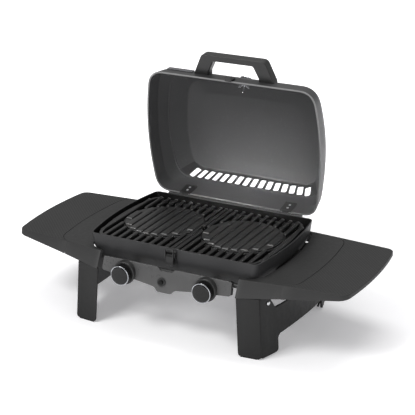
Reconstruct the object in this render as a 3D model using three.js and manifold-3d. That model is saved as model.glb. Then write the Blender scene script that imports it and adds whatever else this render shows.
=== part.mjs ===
// A folding camp grill: a gas firebox with a hinged lid, two cast grates with lift-out round
// griddle plates, a control panel, and two side units whose outer tables fold up.
// Millimetres, +Z up, the front of the grill faces -Y, +X is the user's right.

import * as THREE from 'three';
import { mergeVertices } from 'three/addons/utils/BufferGeometryUtils.js';
import Module from 'manifold-3d';

const wasm = await Module();
wasm.setup();

const degrees = THREE.MathUtils.degToRad;

// ---------------------------------------------------------------- driving dimensions

const GAP = 0.3; // air left between two pieces that rest on each other
const ROUND = 24; // segments of an ordinary round piece

// The bowl is centred on x = 0. Its y = 0 lies behind the middle of the whole object,
// because the opened lid reaches further back than the knobs reach forward.
const BOWL_Y = -39.17;

const WALL = 3; // cast wall of bowl and lid
const RIM_Z = 238; // top of the bowl's rim
const TABLE_Z = 200; // top of the side tables

// outline of the bowl's rim: straight front and back, sides bowed like a barrel
const BOWL = { halfWidth: 239, bulge: 18, front: -176, back: 176, corner: 14 };

const PANEL_TOP = { y: -201.5, z: 192 }; // upper edge of the control panel
const PANEL_LEAN = 15; // degrees the panel leans back
const PANEL_SHEET = 2.5;
const IGNITER = { x: -9, down: -37 }; // on the panel, down from its upper edge
const KNOB = { x: 117, y: -210.7, z: 162, r: 26, depth: 29.5, start: 11.8 };
const BEZEL = { r: 31, front: 8, back: -13 };
const KNOB_ALONG = -31; // where a knob's axis meets the panel, from its upper edge

const HINGE = { y: 183, z: 236 }; // lid hinge axis, along X
const HINGE_X = 154; // middle of each lid hinge
const HINGE_WIDTH = 34;
const LID_RIM_Z = 240; // closed lid's rim plane
const LID_OPEN = 83.6; // degrees from closed to fully open

// outline of the closed lid at several heights above its rim plane
const LID_RINGS = [
  { up: 0, halfWidth: 241, bulge: 19, front: -178, back: 181, corner: 40 },
  { up: 45, halfWidth: 234, bulge: 20, front: -173.5, back: 176.5, corner: 42 },
  { up: 82, halfWidth: 216, bulge: 24, front: -157, back: 172, corner: 46 },
  { up: 130, halfWidth: 190, bulge: 17, front: -118, back: 159, corner: 44 },
  { up: 139, halfWidth: 150, bulge: 12, front: -80, back: 124, corner: 40 },
  { up: 142, halfWidth: 90, bulge: 6, front: -30, back: 74, corner: 30 },
];

const VENT = { count: 16, pitch: 23.3, width: 16.5, length: 37, up: 104, y: 165, fan: 19 };
const HANDLE = { baseHalf: 118, topHalf: 90, innerBase: 75, innerTop: 60, reach: 233, bar: 17 };
const HANDLE_UP = [25, 53]; // the handle's thickness, above the lid's rim plane
const THERMOMETER = { x: 3, y: -146.4, up: 95, lean: 39, dialR: 17 };

const PITCH = 23.2; // grate bars and griddle ribs
const GRATE_TOP = 233;
const GRATE_DEPTH = 12;
const GRATE_END = { front: -164, back: 150 }; // ends of the grate bars, along Y
const BAR = { top: 11, bottom: 6 };
const DISC_X = 116; // centre of each round griddle plate
const DISC_R = 106;

// a side unit, written for the right-hand one
const SKIRT = { slope: 0.51, inner: { x: 199, y: -193 }, apex: { x: 245, y: -188 } };
const SEAM = { x: 311, front: -179, back: 176, halfWidth: 338, bulge: 16, corner: 32 };
const TABLE = { outer: 474, bulge: 14, front: -163, back: 163, corner: 20 };
const SHEET = 3.2; // moulded wall of tables and side panels
const SEAM_GAP = 0.8;

const LEG = { radius: 613, mid: 306, lean: 0.055, wall: 5, top: 186, sole: 2.6 };
const LEG_FACE = { x: 199, y: -210.3, z: 156, alongX: 0.087, alongZ: 0.035, inset: 11 };

const BURNER = { x: 117, r: 8, z: 162, front: -176, back: 132 };
const TRAY = { halfWidth: 68, front: -98, back: 76, bottom: 106, top: 126, sheet: 1.6 };

const PIPE = { y: -189.5, z: 179.6, r: 6 }; // gas pipe that feeds both valves from above

const LATCH = { y: -180.8, z: 221, halfWidth: 11 };

// ---------------------------------------------------------------- materials

function finish(color, roughness, metalness) {
  return new THREE.MeshStandardMaterial({ color, roughness, metalness });
}

const castIron = finish(0x29292b, 0.75, 0.4);
const bowlPaint = finish(0x333437, 0.6, 0.5);
const lidPaint = finish(0x58585b, 0.5, 0.5);
const panelPaint = finish(0x505052, 0.5, 0.4);
const tablePlastic = finish(0x444445, 0.65, 0.0);
const legPlastic = finish(0x363637, 0.65, 0.0);
const blackPlastic = finish(0x1c1c1d, 0.45, 0.0);
const blackSteel = finish(0x1f1f20, 0.5, 0.6);
const rubber = finish(0x141414, 0.9, 0.0);
const chrome = finish(0xcfd2d6, 0.15, 1.0);
const steel = finish(0xa7a9ac, 0.35, 1.0);
const brass = finish(0xb08d4a, 0.35, 1.0);

// ---------------------------------------------------------------- shape helpers

function box(x0, x1, y0, y1, z0, z1) {
  const geometry = new THREE.BoxGeometry(x1 - x0, y1 - y0, z1 - z0);
  return geometry.translate((x0 + x1) / 2, (y0 + y1) / 2, (z0 + z1) / 2);
}

function shapeOf(points) {
  return new THREE.Shape(points.map(([a, b]) => new THREE.Vector2(a, b)));
}

// a prism standing on the XY plane
function prismZ(points, z0, z1) {
  const geometry = new THREE.ExtrudeGeometry(shapeOf(points), { depth: z1 - z0, bevelEnabled: false });
  return geometry.translate(0, 0, z0);
}

// a prism with its outline in XZ, running along Y
function prismY(points, y0, y1) {
  const geometry = new THREE.ExtrudeGeometry(shapeOf(points), { depth: y1 - y0, bevelEnabled: false });
  return geometry.rotateX(Math.PI / 2).translate(0, y1, 0);
}

// a prism with its outline in YZ, running along X
function prismX(points, x0, x1) {
  const geometry = new THREE.ExtrudeGeometry(shapeOf(points), { depth: x1 - x0, bevelEnabled: false });
  const turn = new THREE.Matrix4().makeBasis(
    new THREE.Vector3(0, 1, 0),
    new THREE.Vector3(0, 0, 1),
    new THREE.Vector3(1, 0, 0),
  );
  return geometry.applyMatrix4(turn).translate(x0, 0, 0);
}

// a solid of revolution about Z from [radius, z] points
function turned(profile, segments = ROUND) {
  const points = profile.map(([r, z]) => new THREE.Vector2(r, z));
  return new THREE.LatheGeometry(points, segments).rotateX(Math.PI / 2);
}

function rodZ(radius, z0, z1, segments = ROUND) {
  return turned([[0, z0], [radius, z0], [radius, z1], [0, z1]], segments);
}

function rodX(radius, x0, x1, y, z, segments = 16) {
  return rodZ(radius, x0, x1, segments).rotateY(Math.PI / 2).translate(0, y, z);
}

function rodY(radius, y0, y1, x, z, segments = 16) {
  return rodZ(radius, y0, y1, segments).rotateX(-Math.PI / 2).translate(x, 0, z);
}

// A closed skin through rings of [x, y, z] points, with flat ends. The rings run
// counter-clockwise seen from the end that the skin leaves.
function loft(rings) {
  const count = rings[0].length;
  const positions = rings.flat(2);
  const points = rings.flat().map((p) => new THREE.Vector3(...p));
  const index = [];
  for (let r = 0; r + 1 < rings.length; r += 1) {
    for (let i = 0; i < count; i += 1) {
      const a = r * count + i;
      const b = r * count + ((i + 1) % count);
      const [c, d] = [b + count, a + count];
      const shorter = points[a].distanceTo(points[c]) <= points[b].distanceTo(points[d]);
      index.push(...(shorter ? [a, b, c, a, c, d] : [a, b, d, b, c, d]));
    }
  }
  const cap = (ring, start, flip) => {
    const flat = ring.map(([x, y]) => new THREE.Vector2(x, y));
    for (const [a, b, c] of THREE.ShapeUtils.triangulateShape(flat, [])) {
      const face = flip ? [a, c, b] : [a, b, c];
      index.push(...face.map((k) => k + start));
    }
  };
  cap(rings[0], 0, true);
  cap(rings[rings.length - 1], (rings.length - 1) * count, false);
  const geometry = new THREE.BufferGeometry();
  geometry.setAttribute('position', new THREE.Float32BufferAttribute(positions, 3));
  geometry.setIndex(index);
  return geometry;
}

function solid(geometry) {
  const bare = geometry.clone();
  bare.deleteAttribute('normal');
  bare.deleteAttribute('uv');
  const merged = mergeVertices(bare, 1e-4);
  const index = merged.index.array;
  const keep = [];
  for (let i = 0; i < index.length; i += 3) {
    const [a, b, c] = [index[i], index[i + 1], index[i + 2]];
    if (a !== b && b !== c && c !== a) keep.push(a, b, c);
  }
  return new wasm.Manifold(new wasm.Mesh({
    numProp: 3,
    vertProperties: new Float32Array(merged.attributes.position.array),
    triVerts: new Uint32Array(keep),
  }));
}

function geometryOf(manifold) {
  const mesh = manifold.getMesh();
  const geometry = new THREE.BufferGeometry();
  geometry.setAttribute('position', new THREE.BufferAttribute(new Float32Array(mesh.vertProperties), 3));
  geometry.setIndex(new THREE.BufferAttribute(new Uint32Array(mesh.triVerts), 1));
  return geometry;
}

function join(...geometries) {
  return geometryOf(geometries.map(solid).reduce((whole, piece) => whole.add(piece)));
}

function cut(geometry, ...tools) {
  return geometryOf(tools.map(solid).reduce((whole, tool) => whole.subtract(tool), solid(geometry)));
}

function common(a, b) {
  return geometryOf(solid(a).intersect(solid(b)));
}

// the same piece for the other side of the grill, or for its other end
function mirrored(geometry, axis = 'x') {
  const other = geometryOf(solid(geometry));
  other.scale(axis === 'x' ? -1 : 1, axis === 'y' ? -1 : 1, 1);
  const index = other.index.array;
  for (let i = 0; i < index.length; i += 3) {
    [index[i], index[i + 1]] = [index[i + 1], index[i]];
  }
  return other;
}

function forSide(side, geometry) {
  return side > 0 ? geometry : mirrored(geometry);
}

// ---------------------------------------------------------------- outlines

// A barrel-shaped outline, counter-clockwise from the front left.
function barrel({ halfWidth, bulge, front, back, corner }) {
  const CORNER_STEPS = 5;
  const SIDE_STEPS = 8;
  const middle = (front + back) / 2;
  const half = (back - front) / 2;
  const sideX = (y) => halfWidth + bulge * (1 - ((y - middle) / half) ** 2);
  const right = [];
  const turnCorner = (edge, inward, reverse) => {
    const start = new THREE.Vector2(sideX(edge) - corner, edge);
    const tip = new THREE.Vector2(sideX(edge), edge);
    const end = new THREE.Vector2(sideX(edge + inward * corner), edge + inward * corner);
    const points = new THREE.QuadraticBezierCurve(start, tip, end).getPoints(CORNER_STEPS);
    return reverse ? points.reverse() : points;
  };
  right.push(...turnCorner(front, 1, false));
  const low = front + corner;
  const high = back - corner;
  for (let i = 1; i < SIDE_STEPS; i += 1) {
    const y = low + ((high - low) * i) / SIDE_STEPS;
    right.push(new THREE.Vector2(sideX(y), y));
  }
  right.push(...turnCorner(back, -1, true));
  const left = right.map((p) => new THREE.Vector2(-p.x, p.y)).reverse();
  return [...right, ...left].map((p) => [p.x, p.y]);
}

function shrunk(outline, by) {
  return {
    ...outline,
    halfWidth: outline.halfWidth - by,
    front: outline.front + by,
    back: outline.back - by,
    corner: Math.max(outline.corner - by, 4),
  };
}

const atHeight = (loop, z) => loop.map(([x, y]) => [x, y, z]);

// moves every side of a counter-clockwise outline inwards by the same distance
function inset(loop, by) {
  const count = loop.length;
  const normal = (a, b) => {
    const length = Math.hypot(b[0] - a[0], b[1] - a[1]);
    return [-(b[1] - a[1]) / length, (b[0] - a[0]) / length];
  };
  return loop.map((point, i) => {
    const before = normal(loop[(i + count - 1) % count], point);
    const after = normal(point, loop[(i + 1) % count]);
    const sum = [before[0] + after[0], before[1] + after[1]];
    const scale = (2 * by) / (sum[0] ** 2 + sum[1] ** 2);
    return [point[0] + sum[0] * scale, point[1] + sum[1] * scale];
  });
}

function quadratic(a, control, b, steps) {
  const curve = new THREE.QuadraticBezierCurve(
    new THREE.Vector2(...a),
    new THREE.Vector2(...control),
    new THREE.Vector2(...b),
  );
  return curve.getPoints(steps).map((p) => [p.x, p.y]);
}

// ---------------------------------------------------------------- firebox

const BOWL_FLOOR = [
  { z: 136, halfWidth: 60, bulge: 0, front: -40, back: 40, corner: 10 },
  { z: 150, halfWidth: 200, bulge: 13, front: -140, back: 140, corner: 24 },
  { z: 172, halfWidth: 224, bulge: 16, front: -163, back: 163, corner: 18 },
  { z: 198, halfWidth: 235, bulge: 17.5, front: -172.5, back: 172.5, corner: 15 },
];

// how far the bowl's front and back walls stand from the middle at a height above its belly
function bowlReach(z) {
  const belly = BOWL_FLOOR[3];
  return BOWL.back + ((z - RIM_Z) * (BOWL.back - belly.back)) / (RIM_Z - belly.z);
}

function fireboxBowl() {
  const outside = BOWL_FLOOR.map((ring) => atHeight(barrel(ring), ring.z));
  const inside = BOWL_FLOOR.map((ring) => atHeight(barrel(shrunk(ring, WALL - 1)), ring.z + WALL));
  const rim = atHeight(barrel(BOWL), RIM_Z);
  const rimInside = atHeight(barrel(shrunk(BOWL, WALL + 0.5)), RIM_Z);
  const shell = loft([...outside, rim, rimInside, ...inside.reverse()]);
  const LUG_X = [-190, -60, 60, 190];
  const lugs = [];
  for (const x of LUG_X) {
    for (const side of [-1, 1]) {
      const [y0, y1] = side > 0 ? [143, 172.6] : [-172.6, -156];
      lugs.push(box(x - 9, x + 9, y0, y1, GRATE_TOP - GRATE_DEPTH - 8, GRATE_TOP - GRATE_DEPTH - GAP));
    }
  }
  const drain = rodZ(12, 130, 146);
  const burnerHoles = [-1, 1].map((side) => rodY(BURNER.r + 1.5, -178, -130, side * BURNER.x, BURNER.z, 20));
  return cut(join(shell, ...lugs), drain, ...burnerHoles);
}

// one grate: bars along Y, tied by two cross bars and the ring that holds the griddle plate
function grate() {
  const bottom = GRATE_TOP - GRATE_DEPTH;
  const bars = [];
  const bar = (x) => prismY([
    [x - BAR.bottom / 2, bottom],
    [x + BAR.bottom / 2, bottom],
    [x + BAR.top / 2, GRATE_TOP - 3],
    [x + BAR.top / 2 - 2, GRATE_TOP],
    [x - BAR.top / 2 + 2, GRATE_TOP],
    [x - BAR.top / 2, GRATE_TOP - 3],
  ], GRATE_END.front, GRATE_END.back);
  bars.push(bar(BAR.top / 2 + 1));
  for (let k = 1; k <= 10; k += 1) bars.push(bar(k * PITCH));
  const CROSS = [-154, 140];
  for (const y of CROSS) bars.push(box(2, 250, y - 4, y + 4, bottom + 0.5, GRATE_TOP - 4));
  const ring = turned([
    [DISC_R - 6, bottom + 0.4], [DISC_R + 6, bottom + 0.4],
    [DISC_R + 6, GRATE_TOP - 0.6], [DISC_R - 6, GRATE_TOP - 0.6], [DISC_R - 6, bottom + 0.4],
  ], 48).translate(DISC_X, 0, 0);
  const seat = rodZ(DISC_R + 1, bottom + 4, GRATE_TOP + 5, 48).translate(DISC_X, 0, 0);
  const well = rodZ(DISC_R - 5, bottom - 5, GRATE_TOP + 5, 48).translate(DISC_X, 0, 0);
  const edge = box(1.2, 260, -170, 170, bottom - 2, GRATE_TOP + 2);
  const side = barrel({ halfWidth: 226, bulge: 18, front: -165, back: 151, corner: 24 });
  const outline = prismZ(side, bottom - 1, GRATE_TOP + 1);
  const band = cut(
    prismZ(side, bottom + 0.6, GRATE_TOP - 0.8),
    prismZ(inset(side, 8), bottom - 1, GRATE_TOP + 1),
  );
  const whole = join(...bars, ring, common(band, box(150, 260, -162, 148, bottom, GRATE_TOP)));
  return common(common(cut(whole, seat, well), outline), edge);
}

// round griddle plate: a disc with broad ribs on top, held in the ring of its grate
function griddlePlate() {
  const floor = GRATE_TOP - GRATE_DEPTH + 4 + GAP;
  const disc = rodZ(DISC_R, floor, floor + 5, 48);
  const ribs = [];
  const RIB_WIDTH = 16;
  for (let k = -4; k <= 4; k += 1) {
    const x = k * PITCH;
    const half = Math.sqrt((DISC_R - 1.5) ** 2 - (Math.abs(x) + RIB_WIDTH / 2) ** 2);
    ribs.push(prismY([
      [x - RIB_WIDTH / 2, floor + 4],
      [x + RIB_WIDTH / 2, floor + 4],
      [x + RIB_WIDTH / 2 - 1.5, GRATE_TOP + 1],
      [x - RIB_WIDTH / 2 + 1.5, GRATE_TOP + 1],
    ], -half, half));
  }
  return join(disc, ...ribs).translate(DISC_X, 0, 0);
}

// burner: a tube from just behind its valve, through the bowl's front wall, with a closed far end
function burner() {
  const { x, r, z, front, back } = BURNER;
  const tube = turned([
    [r - 1.2, 0], [r, 0], [r, back - front - 3], [r - 3, back - front], [0, back - front],
    [0, back - front - 2], [r - 4, back - front - 2], [r - 1.2, back - front - 4], [r - 1.2, 0],
  ], 20);
  const PORTS = 8;
  const ports = [];
  for (let i = 0; i < PORTS; i += 1) {
    const y = -112 + i * 30;
    ports.push(rodX(2, x - r - 2, x + r + 2, y, z + 1.5, 6));
  }
  return cut(tube.rotateX(-Math.PI / 2).translate(x, front, z), ...ports);
}

// spark electrode on a clip around the burner
function electrode() {
  const { x, r, z } = BURNER;
  const clip = cut(rodY(r + 3, -72, -64, x, z), rodY(r + GAP, -75, -61, x, z));
  const arm = box(x + 9.5, x + 20, -71, -65, z - 2, z + 1);
  const rod = rodZ(2.6, z - 9, z + 17, 10).translate(x + 17, -68, 0);
  return join(clip, arm, rod);
}

function greaseTray() {
  const { halfWidth, front, back, bottom, top, sheet } = TRAY;
  const outer = box(-halfWidth, halfWidth, front, back, bottom, top);
  const inside = halfWidth - sheet;
  const inner = box(-inside, inside, front + sheet, back - sheet, bottom + sheet, top + 5);
  const flange = (side) => box(
    side > 0 ? halfWidth - 1 : -halfWidth - 6,
    side > 0 ? halfWidth + 6 : 1 - halfWidth,
    front, back, top - 2, top,
  );
  const pull = box(-24, 24, front - 14, front + 1, top - 2, top);
  return cut(join(outer, flange(1), flange(-1), pull), inner);
}

// two rails under the bowl's floor that carry the grease tray, joined by two cross straps
function trayRunners() {
  const { halfWidth, top } = TRAY;
  const TOP = BOWL_FLOOR[0].z - GAP;
  const web = box(halfWidth + 7, halfWidth + 9, -60, 60, top - 5, TOP);
  const lip = box(halfWidth + 0.8, halfWidth + 8, -60, 60, top - 5, top - 2 - GAP);
  const rail = join(web, lip);
  const strap = (y) => box(-halfWidth - 9, halfWidth + 9, y - 4, y + 4, TOP - 2.5, TOP);
  return join(rail, mirrored(rail), strap(-30), strap(30));
}

// ---------------------------------------------------------------- control panel

// pieces on the leaning panel are built flat, facing +Z, with Y up along the panel
const panelGroup = new THREE.Group();
panelGroup.position.set(0, PANEL_TOP.y, PANEL_TOP.z);
panelGroup.rotation.x = degrees(90 - PANEL_LEAN);

// moves a piece from the grill's frame into the panel's
function alongPanel(geometry) {
  panelGroup.updateMatrix();
  return geometry.applyMatrix4(panelGroup.matrix.clone().invert());
}

function controlPanel() {
  const halfOutline = [
    [17, -8], [24, 0], [184, 0], [185.5, -36], [76, -46.5], [35, -51.5], [27, -54], [18, -63.5],
  ];
  const other = halfOutline.map(([x, y]) => [-x, y]).reverse();
  const outline = [...halfOutline.reverse(), ...other.reverse()];
  const plate = prismZ(orderCounterClockwise(outline), -PANEL_SHEET, 0);
  const ends = [-1, 1].map((side) => {
    const [x0, x1] = side > 0 ? [181.5, 184] : [-184, -181.5];
    return box(x0, x1, -34, -1, -16, -1);
  });
  const top = [-1, 1].map((side) => {
    const [x0, x1] = side > 0 ? [30, 168] : [-168, -30];
    return box(x0, x1, -3, -0.5, -10, -1);
  });
  const stems = [-1, 1].map((side) => alongPanel(rodY(7, -230, -190, side * KNOB.x, KNOB.z)));
  const pipeHole = alongPanel(rodX(8, 176, 190, PIPE.y, PIPE.z));
  const igniterHole = rodZ(8.3, -30, 10).translate(IGNITER.x, IGNITER.down, 0);
  return cut(join(plate, ...ends, ...top), ...stems, pipeHole, igniterHole);
}

function orderCounterClockwise(loop) {
  const area = THREE.ShapeUtils.area(loop.map(([x, y]) => new THREE.Vector2(x, y)));
  return area < 0 ? loop.slice().reverse() : loop;
}

// The controls are built along +Z about the knob's axis and then turned to face forwards.
// Their z = 0 is where the axis meets the front of the panel.
function facingFront(geometry, side) {
  return geometry.rotateX(Math.PI / 2).translate(side * KNOB.x, KNOB.y, KNOB.z);
}

// fixed collar: a wedge that makes up for the panel's lean
function knobBezel(side) {
  const { r, front, back } = BEZEL;
  const collar = turned([[7, back], [r, back], [r, front - 2], [r - 1.6, front], [7, front], [7, back]], 32);
  const behind = box(-60, 60, -60, 60, -60, GAP).translate(side * KNOB.x, KNOB_ALONG, 0);
  panelGroup.updateMatrix();
  return cut(facingFront(collar, side), behind.applyMatrix4(panelGroup.matrix));
}

function knobStem(side) {
  const { start } = KNOB;
  const stem = turned([
    [0, -16], [3.8, -16], [3.8, -2], [6, -2], [6, 3], [3.8, 3], [3.8, start + 3.5], [0, start + 3.5],
  ], 16);
  return facingFront(stem, side);
}

function knob(side) {
  const { r, depth, start } = KNOB;
  return facingFront(turned([
    [0, start + 4], [4.2, start + 4], [4.2, start], [r - 1, start], [r, start + 1.5], [r, start + 5],
    [r - 1.2, start + 5.5], [r - 1.2, start + 6.5], [r, start + 7], [r, 24.6], [r - 2, 24.6], [r - 2, 28],
    [r - 5, depth - 0.4], [0, depth],
  ], 32), side);
}

function knobRing(side) {
  const { r } = KNOB;
  const profile = [[r - 1.7, 24.9], [r + 0.2, 24.9], [r + 0.2, 27.2], [r - 1.7, 28], [r - 1.7, 24.9]];
  return facingFront(turned(profile, 32), side);
}

function gasValve(side) {
  const body = box(-11, 11, -11, 11, -26, -7.5);
  const tail = rodZ(5.5, -34, -25, 12);
  const bore = rodZ(4.3, -20, 0, 16);
  return facingFront(cut(join(body, tail), bore), side);
}

function igniterBody() {
  return turned([
    [0, -34], [7.8, -34], [7.8, GAP], [11.5, GAP], [11.5, 3], [10.5, 4], [6.4, 4], [6.4, -16], [0, -16],
  ], 20);
}

function igniterButton() {
  return turned([[0, -10], [6, -10], [6, 8.5], [5, 9.5], [0, 9.5]], 20);
}

// ---------------------------------------------------------------- lid, built closed about its hinge axis

const lidGroup = new THREE.Group();
lidGroup.position.set(0, HINGE.y, HINGE.z);
lidGroup.rotation.x = -degrees(LID_OPEN);

const onHinge = (geometry) => geometry.translate(0, -HINGE.y, -HINGE.z);

// the lid's outer shape as a full solid, grown a little all round
function lidBlank(grow) {
  return loft(LID_RINGS.map((ring) => {
    const z = LID_RIM_Z + ring.up + (ring.up > 0 ? grow : -grow);
    return atHeight(barrel(shrunk(ring, -grow)), z);
  }));
}

function ventSlots() {
  const strip = LID_RINGS[2];
  const top = LID_RINGS[3];
  const lean = Math.atan2(strip.back - top.back, top.up - strip.up);
  const slots = [];
  for (let i = 0; i < VENT.count; i += 1) {
    const x = (i - (VENT.count - 1) / 2) * VENT.pitch;
    const fan = degrees(VENT.fan) * (x / (VENT.pitch * VENT.count * 0.5));
    const slot = new THREE.BoxGeometry(VENT.width, 24, VENT.length);
    slot.rotateY(-fan).rotateX(lean);
    slots.push(slot.translate(x, VENT.y, LID_RIM_Z + VENT.up));
  }
  return slots;
}

// places a round piece, built along +Z, on the lid's front slope
function onFrontSlope(geometry) {
  return geometry
    .rotateX(degrees(90 - THERMOMETER.lean))
    .translate(THERMOMETER.x, THERMOMETER.y, LID_RIM_Z + THERMOMETER.up);
}

function lidShell() {
  const outside = LID_RINGS.map((ring) => atHeight(barrel(ring), LID_RIM_Z + ring.up));
  const inside = LID_RINGS.map((ring) => {
    const z = LID_RIM_Z + ring.up - (ring.up > 0 ? WALL * 0.6 : 0) - (ring.up > 135 ? WALL * 0.4 : 0);
    return atHeight(barrel(shrunk(ring, WALL)), z);
  });
  const shell = loft([...inside.slice().reverse(), ...outside]);
  const stemHole = onFrontSlope(rodZ(4.2, -12, 12, 16));
  return onHinge(cut(shell, ...ventSlots(), stemHole));
}

function lidHandle() {
  const { baseHalf, topHalf, innerBase, innerTop, reach, bar } = HANDLE;
  const outer = [
    [-baseHalf, -160], [-baseHalf + 1, -178], [-topHalf - 8, -reach + 12],
    ...quadratic([-topHalf - 5, -reach + 7], [-topHalf - 2, -reach], [-topHalf + 8, -reach], 3),
    ...quadratic([topHalf - 8, -reach], [topHalf + 2, -reach], [topHalf + 5, -reach + 7], 3),
    [topHalf + 8, -reach + 12], [baseHalf - 1, -178], [baseHalf, -160],
  ];
  const opening = [
    [-innerBase, -150], [-innerBase, -181], [-innerTop - 3, -reach + bar + 5],
    [-innerTop + 3, -reach + bar], [innerTop - 3, -reach + bar], [innerTop + 3, -reach + bar + 5],
    [innerBase, -181], [innerBase, -150],
  ];
  const [low, high] = HANDLE_UP.map((up) => LID_RIM_Z + up);
  const arch = cut(
    prismZ(orderCounterClockwise(outer), low, high),
    prismZ(orderCounterClockwise(opening), low - 5, high + 5),
  );
  return onHinge(cut(arch, lidBlank(GAP)));
}

// screw through the lid's front wall into a handle foot, seen from inside the lid
function handleScrew(side) {
  const up = LID_RIM_Z + 34;
  return onHinge(rodY(5, -170.3, -166.8, side * 92, up, 16));
}

function lidCatch() {
  const leg = (x) => box(x, x + 3, -181.5, -178.6, LID_RIM_Z - 6.5, LID_RIM_Z + 20);
  const plate = box(-9, 9, -181.5, -170, LID_RIM_Z + 3, LID_RIM_Z + 20);
  const hook = box(-9, 9, -190.5, -178.6, LID_RIM_Z - 6.5, LID_RIM_Z - 4);
  const edge = box(-9, 9, -190.5, -188.4, LID_RIM_Z - 5, LID_RIM_Z);
  return onHinge(cut(join(leg(-9), leg(6), plate, hook, edge), lidBlank(GAP)));
}

function thermometerDial() {
  const { dialR } = THERMOMETER;
  const profile = [[0, 1], [dialR - 1, 1], [dialR, 2], [dialR, 3.4], [dialR - 1.4, 4.6], [0, 4.6]];
  return onHinge(onFrontSlope(turned(profile, 32)));
}

function thermometerStem() {
  const rod = rodZ(2.4, -36, 0.6, 12);
  const nut = rodZ(6, -18, -12, 8);
  const wings = box(-12, 12, -1.5, 1.5, -22, -13);
  return onHinge(onFrontSlope(join(rod, nut, wings)));
}

// lid half of a hinge: a leaf inside the lid's back wall and the middle knuckle
function hingeLeaf(side) {
  const wallY = (up) => 181 - WALL - GAP - up * 0.1;
  const half = HINGE_WIDTH / 2;
  const leaf = prismX([
    [HINGE.y - 8.2, HINGE.z + 2.5], [HINGE.y - 6.4, HINGE.z + 2.5], [HINGE.y - 5.4, HINGE.z + 0.8],
    [HINGE.y, HINGE.z + 0.6],
    [HINGE.y, HINGE.z + 3.2], [HINGE.y - 5, HINGE.z + 3.2],
    [wallY(6), LID_RIM_Z + 6], [wallY(38), LID_RIM_Z + 38], [wallY(38) - 2.4, LID_RIM_Z + 41],
    [wallY(38) - 4.4, LID_RIM_Z + 40], [wallY(38) - 2.4, LID_RIM_Z + 37], [wallY(6) - 2.4, LID_RIM_Z + 6],
  ], -half, half);
  const notch = (s) => box(
    s > 0 ? 9 : -half - 1,
    s > 0 ? half + 1 : -9,
    HINGE.y - 5.5, HINGE.y + 6, HINGE.z - 6, HINGE.z + 5,
  );
  const knuckle = rodX(4, -8.6, 8.6, HINGE.y, HINGE.z);
  const bore = rodX(2.1, -40, 40, HINGE.y, HINGE.z, 12);
  const piece = cut(join(cut(leaf, notch(1), notch(-1)), knuckle), bore);
  return onHinge(piece.translate(side * HINGE_X, 0, 0));
}

// bowl half of a hinge: a plate on the bowl's back wall with two outer knuckles
function hingeBase(side) {
  const half = HINGE_WIDTH / 2;
  const wallY = (z) => bowlReach(z) + GAP;
  const plate = prismX([
    [wallY(206), 206], [wallY(206) + 2.4, 206], [wallY(226) + 2.4, 226], [HINGE.y - 2, HINGE.z - 4],
    [HINGE.y, HINGE.z - 1], [HINGE.y - 3, HINGE.z], [wallY(228) + 0.2, 228],
  ], -half, half);
  const middle = box(-9, 9, HINGE.y - 6.2, HINGE.y + 6, HINGE.z - 7.2, HINGE.z + 6);
  const knuckles = [[-half, -9], [9, half]].map(([x0, x1]) => rodX(4, x0, x1, HINGE.y, HINGE.z));
  const bore = rodX(2.1, -40, 40, HINGE.y, HINGE.z, 12);
  return cut(join(cut(plate, middle), ...knuckles), bore).translate(side * HINGE_X, 0, 0);
}

// one rod through both hinges, with a spacer sleeve between them and one outside each
function hingeRod() {
  const gap = HINGE_WIDTH / 2 + 1;
  const end = 204;
  const sleeve = (x0, x1) => rodX(4, x0, x1, HINGE.y, HINGE.z);
  return join(
    rodX(1.8, -end, end, HINGE.y, HINGE.z, 12),
    sleeve(-end, -HINGE_X - gap),
    sleeve(-HINGE_X + gap, HINGE_X - gap),
    sleeve(HINGE_X + gap, end),
  );
}

// ---------------------------------------------------------------- front latch

function latchBase() {
  const wallY = (z) => -bowlReach(z) - GAP;
  const { y, z, halfWidth } = LATCH;
  const plate = prismX([
    [wallY(196), 196], [wallY(234), 234], [wallY(234) - 2, 234], [wallY(196) - 2, 196],
  ], -halfWidth - 4, halfWidth + 4);
  const ear = (x) => prismX([
    [wallY(z - 8) - 1, z - 8], [wallY(z + 8) - 1, z + 8], [y - 3, z + 4], [y - 3, z - 4],
  ], x, x + 2);
  const bore = rodX(1.7, -30, 30, y, z, 12);
  return cut(join(plate, ear(-halfWidth - 4), ear(halfWidth + 2)), bore);
}

function latchLever() {
  const { y, z, halfWidth } = LATCH;
  const profile = [
    [y - 2.5, z + 3], [y + 1, z + 2.5], [y + 2, z], [y - 1.5, z - 6], [y - 1.5, z - 22],
    [y - 4.5, z - 27], [y - 6, z - 26], [y - 4.5, z - 20], [y - 5, z - 3],
  ];
  const plate = prismX(orderCounterClockwise(profile), -halfWidth + 1, halfWidth - 1);
  const axle = rodX(1.5, -halfWidth - 3.8, halfWidth + 3.8, y, z, 12);
  const bailAxle = rodX(1.0, -halfWidth - 1.2, halfWidth + 1.2, y - 3.4, z - 7, 12);
  return join(plate, axle, bailAxle);
}

// wire bail that hooks over the catch on the lid
function latchBail() {
  const { y, z, halfWidth } = LATCH;
  const pivot = { y: y - 3.4, z: z - 7 };
  const side = (x) => prismX(orderCounterClockwise([
    [pivot.y - 3, pivot.z - 3], [pivot.y + 2, pivot.z - 3], [pivot.y + 1.5, pivot.z + 4],
    [y - 3.6, z + 20], [y - 6.2, z + 20], [pivot.y - 3, pivot.z + 4],
  ]), x, x + 1.8);
  const outerX = halfWidth - 1 + 0.4;
  const bar = box(-outerX - 1.8, outerX + 1.8, y - 6.2, y - 3.6, z + 16, z + 20);
  const bore = rodX(1.3, -30, 30, pivot.y, pivot.z, 12);
  return cut(join(side(outerX), side(-outerX - 1.8), bar), bore);
}

// ---------------------------------------------------------------- side units, written for the right

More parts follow.
